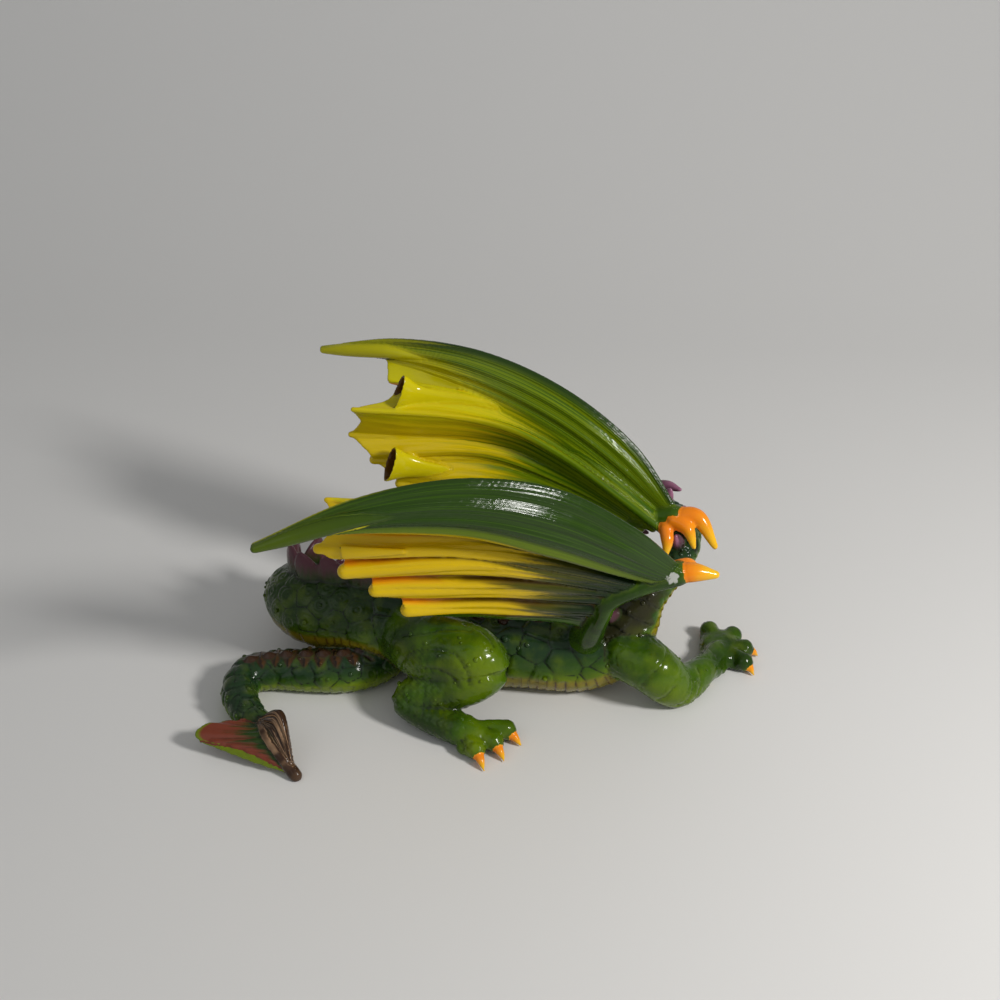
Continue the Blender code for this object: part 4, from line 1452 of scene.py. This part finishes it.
def spade_colour(net):
    fibres = net.node("ShaderNodeMapping", {}, {"Vector": object_place(net), "Scale": (0.10, 1.0, 1.0)})
    streaks = noise(net, 500.0, 2.0, fibres) - 0.5
    left = blend(net, ease(net, mark_value(net, "tip") + streaks * 0.9, 0.25, 0.65), DEEP, BRICK)
    along = {0: mark_value(net, "tip") * 16.0, 1: mark_value(net, "run") * 3.0}
    grain = net.node("ShaderNodeCombineXYZ", {}, along)
    right = blend(net, ease(net, noise(net, 1.0, 2.0, grain), 0.46, 0.66), MAROON, TAN)
    lobe = blend(net, eased(net, "across", -0.05, -0.30), left, right)
    rim = eased(net, "across", 0.90, 0.97)
    lobe = blend(net, rim, lobe, LIME)
    return blend(net, eased(net, "keel", 0.4, 0.6), lobe, LIME)


def body_paint(net):
    mottle = noise(net, 42.0) - 0.5
    leg = blend(net, ease(net, noise(net, 26.0) + mottle * 0.3, 0.36, 0.62), DEEP, LEAF)
    skin_colour = blend(net, mark_value(net, "limb"), trunk_colour(net, mottle), leg)
    # lime on the legs: a random mottle, and the painted highlight on knees, elbows and feet
    lit = (mark_value(net, "glow") * 0.56 + mottle * 1.1).clamped()
    skin_colour = blend(net, lit * mark_value(net, "limb"), skin_colour, LIME)
    # painted highlight: lime on the raised scale domes
    dome_highlight = mark_value(net, "dome") * ease(net, noise(net, 75.0), 0.45, 0.70) * 0.30
    skin_colour = blend(net, dome_highlight, skin_colour, LIME)
    on_tail = eased(net, "run", 0.30, 0.50)
    plates = blend(net, eased(net, "plate", 0.55, 1.0) * 0.5 * on_tail, MAROON, BROWN)
    skin_colour = blend(net, mark_value(net, "dorsal") * (on_tail * 0.45 + 0.55), skin_colour, plates)
    skin_colour = blend(net, eased(net, "groove", 0.20, 0.90) * 0.75, skin_colour, GLAZE_AND_SHADE)
    skin_colour = blend(net, eased(net, "spine", 0.3, 0.7), skin_colour, spine_colour(net))
    skin_colour = blend(net, eased(net, "spade", 0.3, 0.7), skin_colour, spade_colour(net))
    # painted shade in the folds and recesses, in the glaze's colour
    skin_colour = blend(net, eased(net, "wash", 0.15, 0.95) * 0.72, skin_colour, GLAZE_AND_SHADE)
    skin_colour = blend(net, eased(net, "eye", 0.4, 0.6), skin_colour, AMBER)
    return blend(net, eased(net, "claw", 0.4, 0.7), skin_colour, claw_colour(net))


def hide_relief(net):
    """Fine wrinkles of the hide, coarser ones between them."""
    return noise(net, 380.0, 4.0) * 0.5 + noise(net, 130.0, 3.0)


BODY_PAINT = varnished("painted_hide", body_paint, hide_relief)
print("the hide's material has", len(BODY_PAINT.node_tree.nodes), "nodes")

# %% [markdown]
# A wing is green at the wrist and along the leading band, and turns yellow towards its trailing edge.
# The change isn't even: brush strokes follow the pleats. A noise read in the wing's own coordinates,
# squeezed across and stretched along, gives those strokes, and the same strokes raise the paint a
# little, which breaks up its gloss. In the valleys of the outer face the yellow goes through orange
# to brown; that brown is painted shade, as is the brown in its recesses and inside the rolled pleats.

# %% Paint of the wings
CHIP_PLACE, CHIP_RADIUS = (0.1100, -0.0320, 0.0990), 0.0040  # where the wrist's paint is chipped off


def strokes(net, across, along):
    """A noise in the wing's own coordinates, so that its strokes follow the pleats."""
    down_mark, run_mark = mark_value(net, "down"), mark_value(net, "run")
    inputs = {0: run_mark * along, 1: down_mark * across, 2: mark_value(net, "outer")}
    place = net.node("ShaderNodeCombineXYZ", {}, inputs)
    return noise(net, 1.0, 3.0, place)


def outer_colour(net, brush):
    """Near-black green at the wrist, then olive, then yellow, with orange valleys that are brown towards the
    wrist as painted shade.
    """
    run_mark, down_mark = mark_value(net, "run") + brush, mark_value(net, "down")
    ridge = mark_value(net, "ridge")
    pleat = blend(net, ease(net, run_mark, 0.10, 0.36), NIGHT, OLIVE)
    pleat = blend(net, ease(net, run_mark + ridge * 0.10 + down_mark * 0.16, 0.46, 0.68), pleat, YELLOW)
    valley = ease(net, ridge, 0.05, -0.75)
    # valleys of the outer face: orange paint towards the trailing edge, painted shade in brown towards the
    # wrist
    valley_orange_and_shade = blend(net, ease(net, run_mark, 0.62, 1.00), BROWN, ORANGE)
    valley_orange_and_shade_share = ease(net, run_mark, 0.22, 0.45) * ease(net, strokes(net, 24.0, 5.0), 0.22, 0.48)
    pleat = blend(net, valley * 0.85 * valley_orange_and_shade_share, pleat, valley_orange_and_shade)
    hem = ease(net, down_mark, 0.90, 0.97)
    pleat = blend(net, hem, pleat, LEAF)
    green = blend(net, ease(net, strokes(net, 46.0, 2.0), 0.44, 0.80), DEEP, LEAF)
    front = blend(net, ease(net, down_mark + brush * 0.3, -0.24, -0.08) * 0.55, green, LIME)
    front = blend(net, ease(net, run_mark, 0.74, 1.10) * 0.45, front, LIME)
    return blend(net, mark_value(net, "band"), pleat, front)


def inner_colour(net, brush):
    """Green at the wrist and the crest, and greenish yellow behind."""
    run_mark, down_mark = mark_value(net, "run") + brush, mark_value(net, "down")
    green = blend(net, ease(net, strokes(net, 40.0, 2.0), 0.30, 0.64), LEAF, LIME)
    green = blend(net, ease(net, down_mark, -0.80, -1.0), green, DEEP)
    behind = run_mark + ease(net, down_mark, -0.95, -0.1) * 0.22
    lemon = blend(net, ease(net, down_mark + brush, 0.10, 0.45) * 0.7, LEMON, YELLOW)
    lemon = blend(net, ease(net, down_mark, -0.35, -0.75) * 0.45, lemon, LIME)
    return blend(net, ease(net, behind, 0.66, 0.94), green, lemon)


def wing_paint(net):
    brush = (strokes(net, 60.0, 3.0) - 0.5) * 0.55
    outer = eased(net, "outer", -0.1, 0.5)
    skin_colour = blend(net, outer, inner_colour(net, brush), outer_colour(net, brush))
    arm = blend(net, ease(net, noise(net, 60.0), 0.35, 0.65), DEEP, LEAF)
    skin_colour = blend(net, mark_value(net, "limb"), skin_colour, arm)
    # painted shade: brown inside the rolled pleats
    skin_colour = blend(net, eased(net, "hollow", 0.3, 0.7), skin_colour, BROWN)
    # painted shade in brown in the recesses of the wing's outer face
    skin_colour = blend(net, eased(net, "wash", 0.3, 1.0) * outer * 0.60, skin_colour, BROWN)
    ends = {0: object_place(net), 1: CHIP_PLACE}
    apart = net.node("ShaderNodeVectorMath", {"operation": "DISTANCE"}, ends, 1)
    chip = ease(net, apart + (noise(net, 260.0) - 0.5) * 0.007, CHIP_RADIUS, CHIP_RADIUS * 0.8)
    skin_colour = blend(net, chip * (1.0 - mark_value(net, "claw")), skin_colour, RESIN)
    return blend(net, eased(net, "claw", 0.4, 0.7), skin_colour, claw_colour(net))


def wing_relief(net):
    """Brush strokes along the pleats, over a slight unevenness of the resin."""
    return strokes(net, 30.0, 1.6) + strokes(net, 11.0, 1.5) * 2.4 + noise(net, 150.0, 3.0) * 0.4


WING_PAINT = varnished("painted_wing", wing_paint, wing_relief)
print("the wings' material has", len(WING_PAINT.node_tree.nodes), "nodes")

# %% Plant and paint the knobs
bead = bead_form()
upright_x = np.tile([1.0, 0.0, 0.0], (len(knob_at), 1))
knob_sizes = np.repeat(knob_radius[:, None], 3, axis=1)
# a knob stands clear of the grooves and of the painted shade in recesses
left_out = ("groove", "wash")  # a knob stands clear of the grooves
shades = {name: values[knob_at] for name, values in painted.items() if name not in left_out}
scale_knobs = plant("scale_knobs", bead, knob_places, knob_out, upright_x, knob_sizes, BODY_PAINT, **shades)
bpy.data.objects.remove(bead)
scale_knobs.data.shade_smooth()
print("planted knobs with", len(scale_knobs.data.polygons), "faces")

# %% Give the pieces their paint
finishes = [(body, BODY_PAINT), (scale_knobs, BODY_PAINT)]
finishes += [(wing, WING_PAINT) for wing in wings]
for piece, finish in finishes:
    piece.data.materials.clear()
    piece.data.materials.append(finish)
    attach(piece, "root")
    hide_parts("dragon")
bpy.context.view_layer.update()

# %% [markdown]
# ## Studio
#
# The figure lies on a pale, seamless sweep: a floor that curves up into a backdrop far behind. A warm
# key light stands to the right of the camera and throws soft shadows to the left. The world gives an
# even fill.

# %% Floor and backdrop
FLOOR_WIDTH, FLOOR_FRONT, FLOOR_BACK, SWEEP_RADIUS, SWEEP_HEIGHT = 16.0, -8.0, 0.42, 0.75, 6.0


def sweep():
    turn = np.linspace(0, math.pi / 2, 24)
    profile = [(FLOOR_FRONT, 0.0)]
    profile += [(FLOOR_BACK + SWEEP_RADIUS * math.sin(a), SWEEP_RADIUS * (1 - math.cos(a))) for a in turn]
    profile.append((FLOOR_BACK + SWEEP_RADIUS, SWEEP_HEIGHT))
    points = [(side * FLOOR_WIDTH / 2, y, z) for y, z in profile for side in (-1, 1)]
    faces = [(2 * i, 2 * i + 1, 2 * i + 3, 2 * i + 2) for i in range(len(profile) - 1)]
    mesh = bpy.data.meshes.new("sweep")
    mesh.from_pydata(points, [], faces)
    mesh.shade_smooth()
    return add_piece("sweep", mesh)


def paper():
    material = bpy.data.materials.new("pale_paper")
    material.use_nodes = True
    shader = material.node_tree.nodes["Principled BSDF"]
    shader.inputs["Base Color"].default_value = colour(0.67, 0.66, 0.645)
    shader.inputs["Roughness"].default_value = 0.75
    return material


floor = sweep()
floor.data.materials.append(paper())
floor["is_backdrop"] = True

# %% Lights
KEY_PLACE, KEY_AIM, KEY_SIZE, KEY_POWER = (0.90, -0.50, 0.80), (0.0, 0.0, 0.05), 0.22, 12.2
FILL_PLACE, FILL_SIZE, FILL_POWER = (-0.9, -1.2, 1.3), 1.4, 1.8
WORLD_STRENGTH = 0.42


def area_light(name, place, aim, size, power, tint):
    lamp = bpy.data.lights.new(name, "AREA")
    lamp.shape = "DISK"
    lamp.size = size
    lamp.energy = power
    lamp.color = tint
    light = bpy.data.objects.new(name, lamp)
    bpy.context.scene.collection.objects.link(light)
    light.location = place
    light.rotation_euler = (Vector(aim) - Vector(place)).to_track_quat("-Z", "Y").to_euler()
    return light


area_light("key", KEY_PLACE, KEY_AIM, KEY_SIZE, KEY_POWER, (1.0, 0.985, 0.96))
area_light("fill", FILL_PLACE, KEY_AIM, FILL_SIZE, FILL_POWER, (0.96, 0.98, 1.0))
world = bpy.data.worlds.new("studio")
world.use_nodes = True
world.node_tree.nodes["Background"].inputs["Color"].default_value = colour(0.82, 0.84, 0.86)
world.node_tree.nodes["Background"].inputs["Strength"].default_value = WORLD_STRENGTH
bpy.context.scene.world = world
bpy.context.scene.view_settings.view_transform = "Standard"

# %% [markdown]
# The camera stands where the photographer stood: nearly square to the dragon's right side and about
# 34 degrees above it.

# %% Camera
AZIMUTH, ELEVATION, DISTANCE, LENS = math.radians(4), math.radians(34), 0.840, 55.0
TARGET = Vector((0.015, 0.0, 0.123))
away = Vector(
    (
        math.sin(AZIMUTH) * math.cos(ELEVATION),
        -math.cos(AZIMUTH) * math.cos(ELEVATION),
        math.sin(ELEVATION),
    )
)
camera = bpy.data.objects.new("camera", bpy.data.cameras.new("camera"))
bpy.context.scene.collection.objects.link(camera)
camera.data.lens = LENS
camera.location = TARGET + away * DISTANCE
camera.rotation_euler = (-away).to_track_quat("-Z", "Y").to_euler()
bpy.context.scene.camera = camera
print("the camera stands at", [round(v, 3) for v in camera.location])
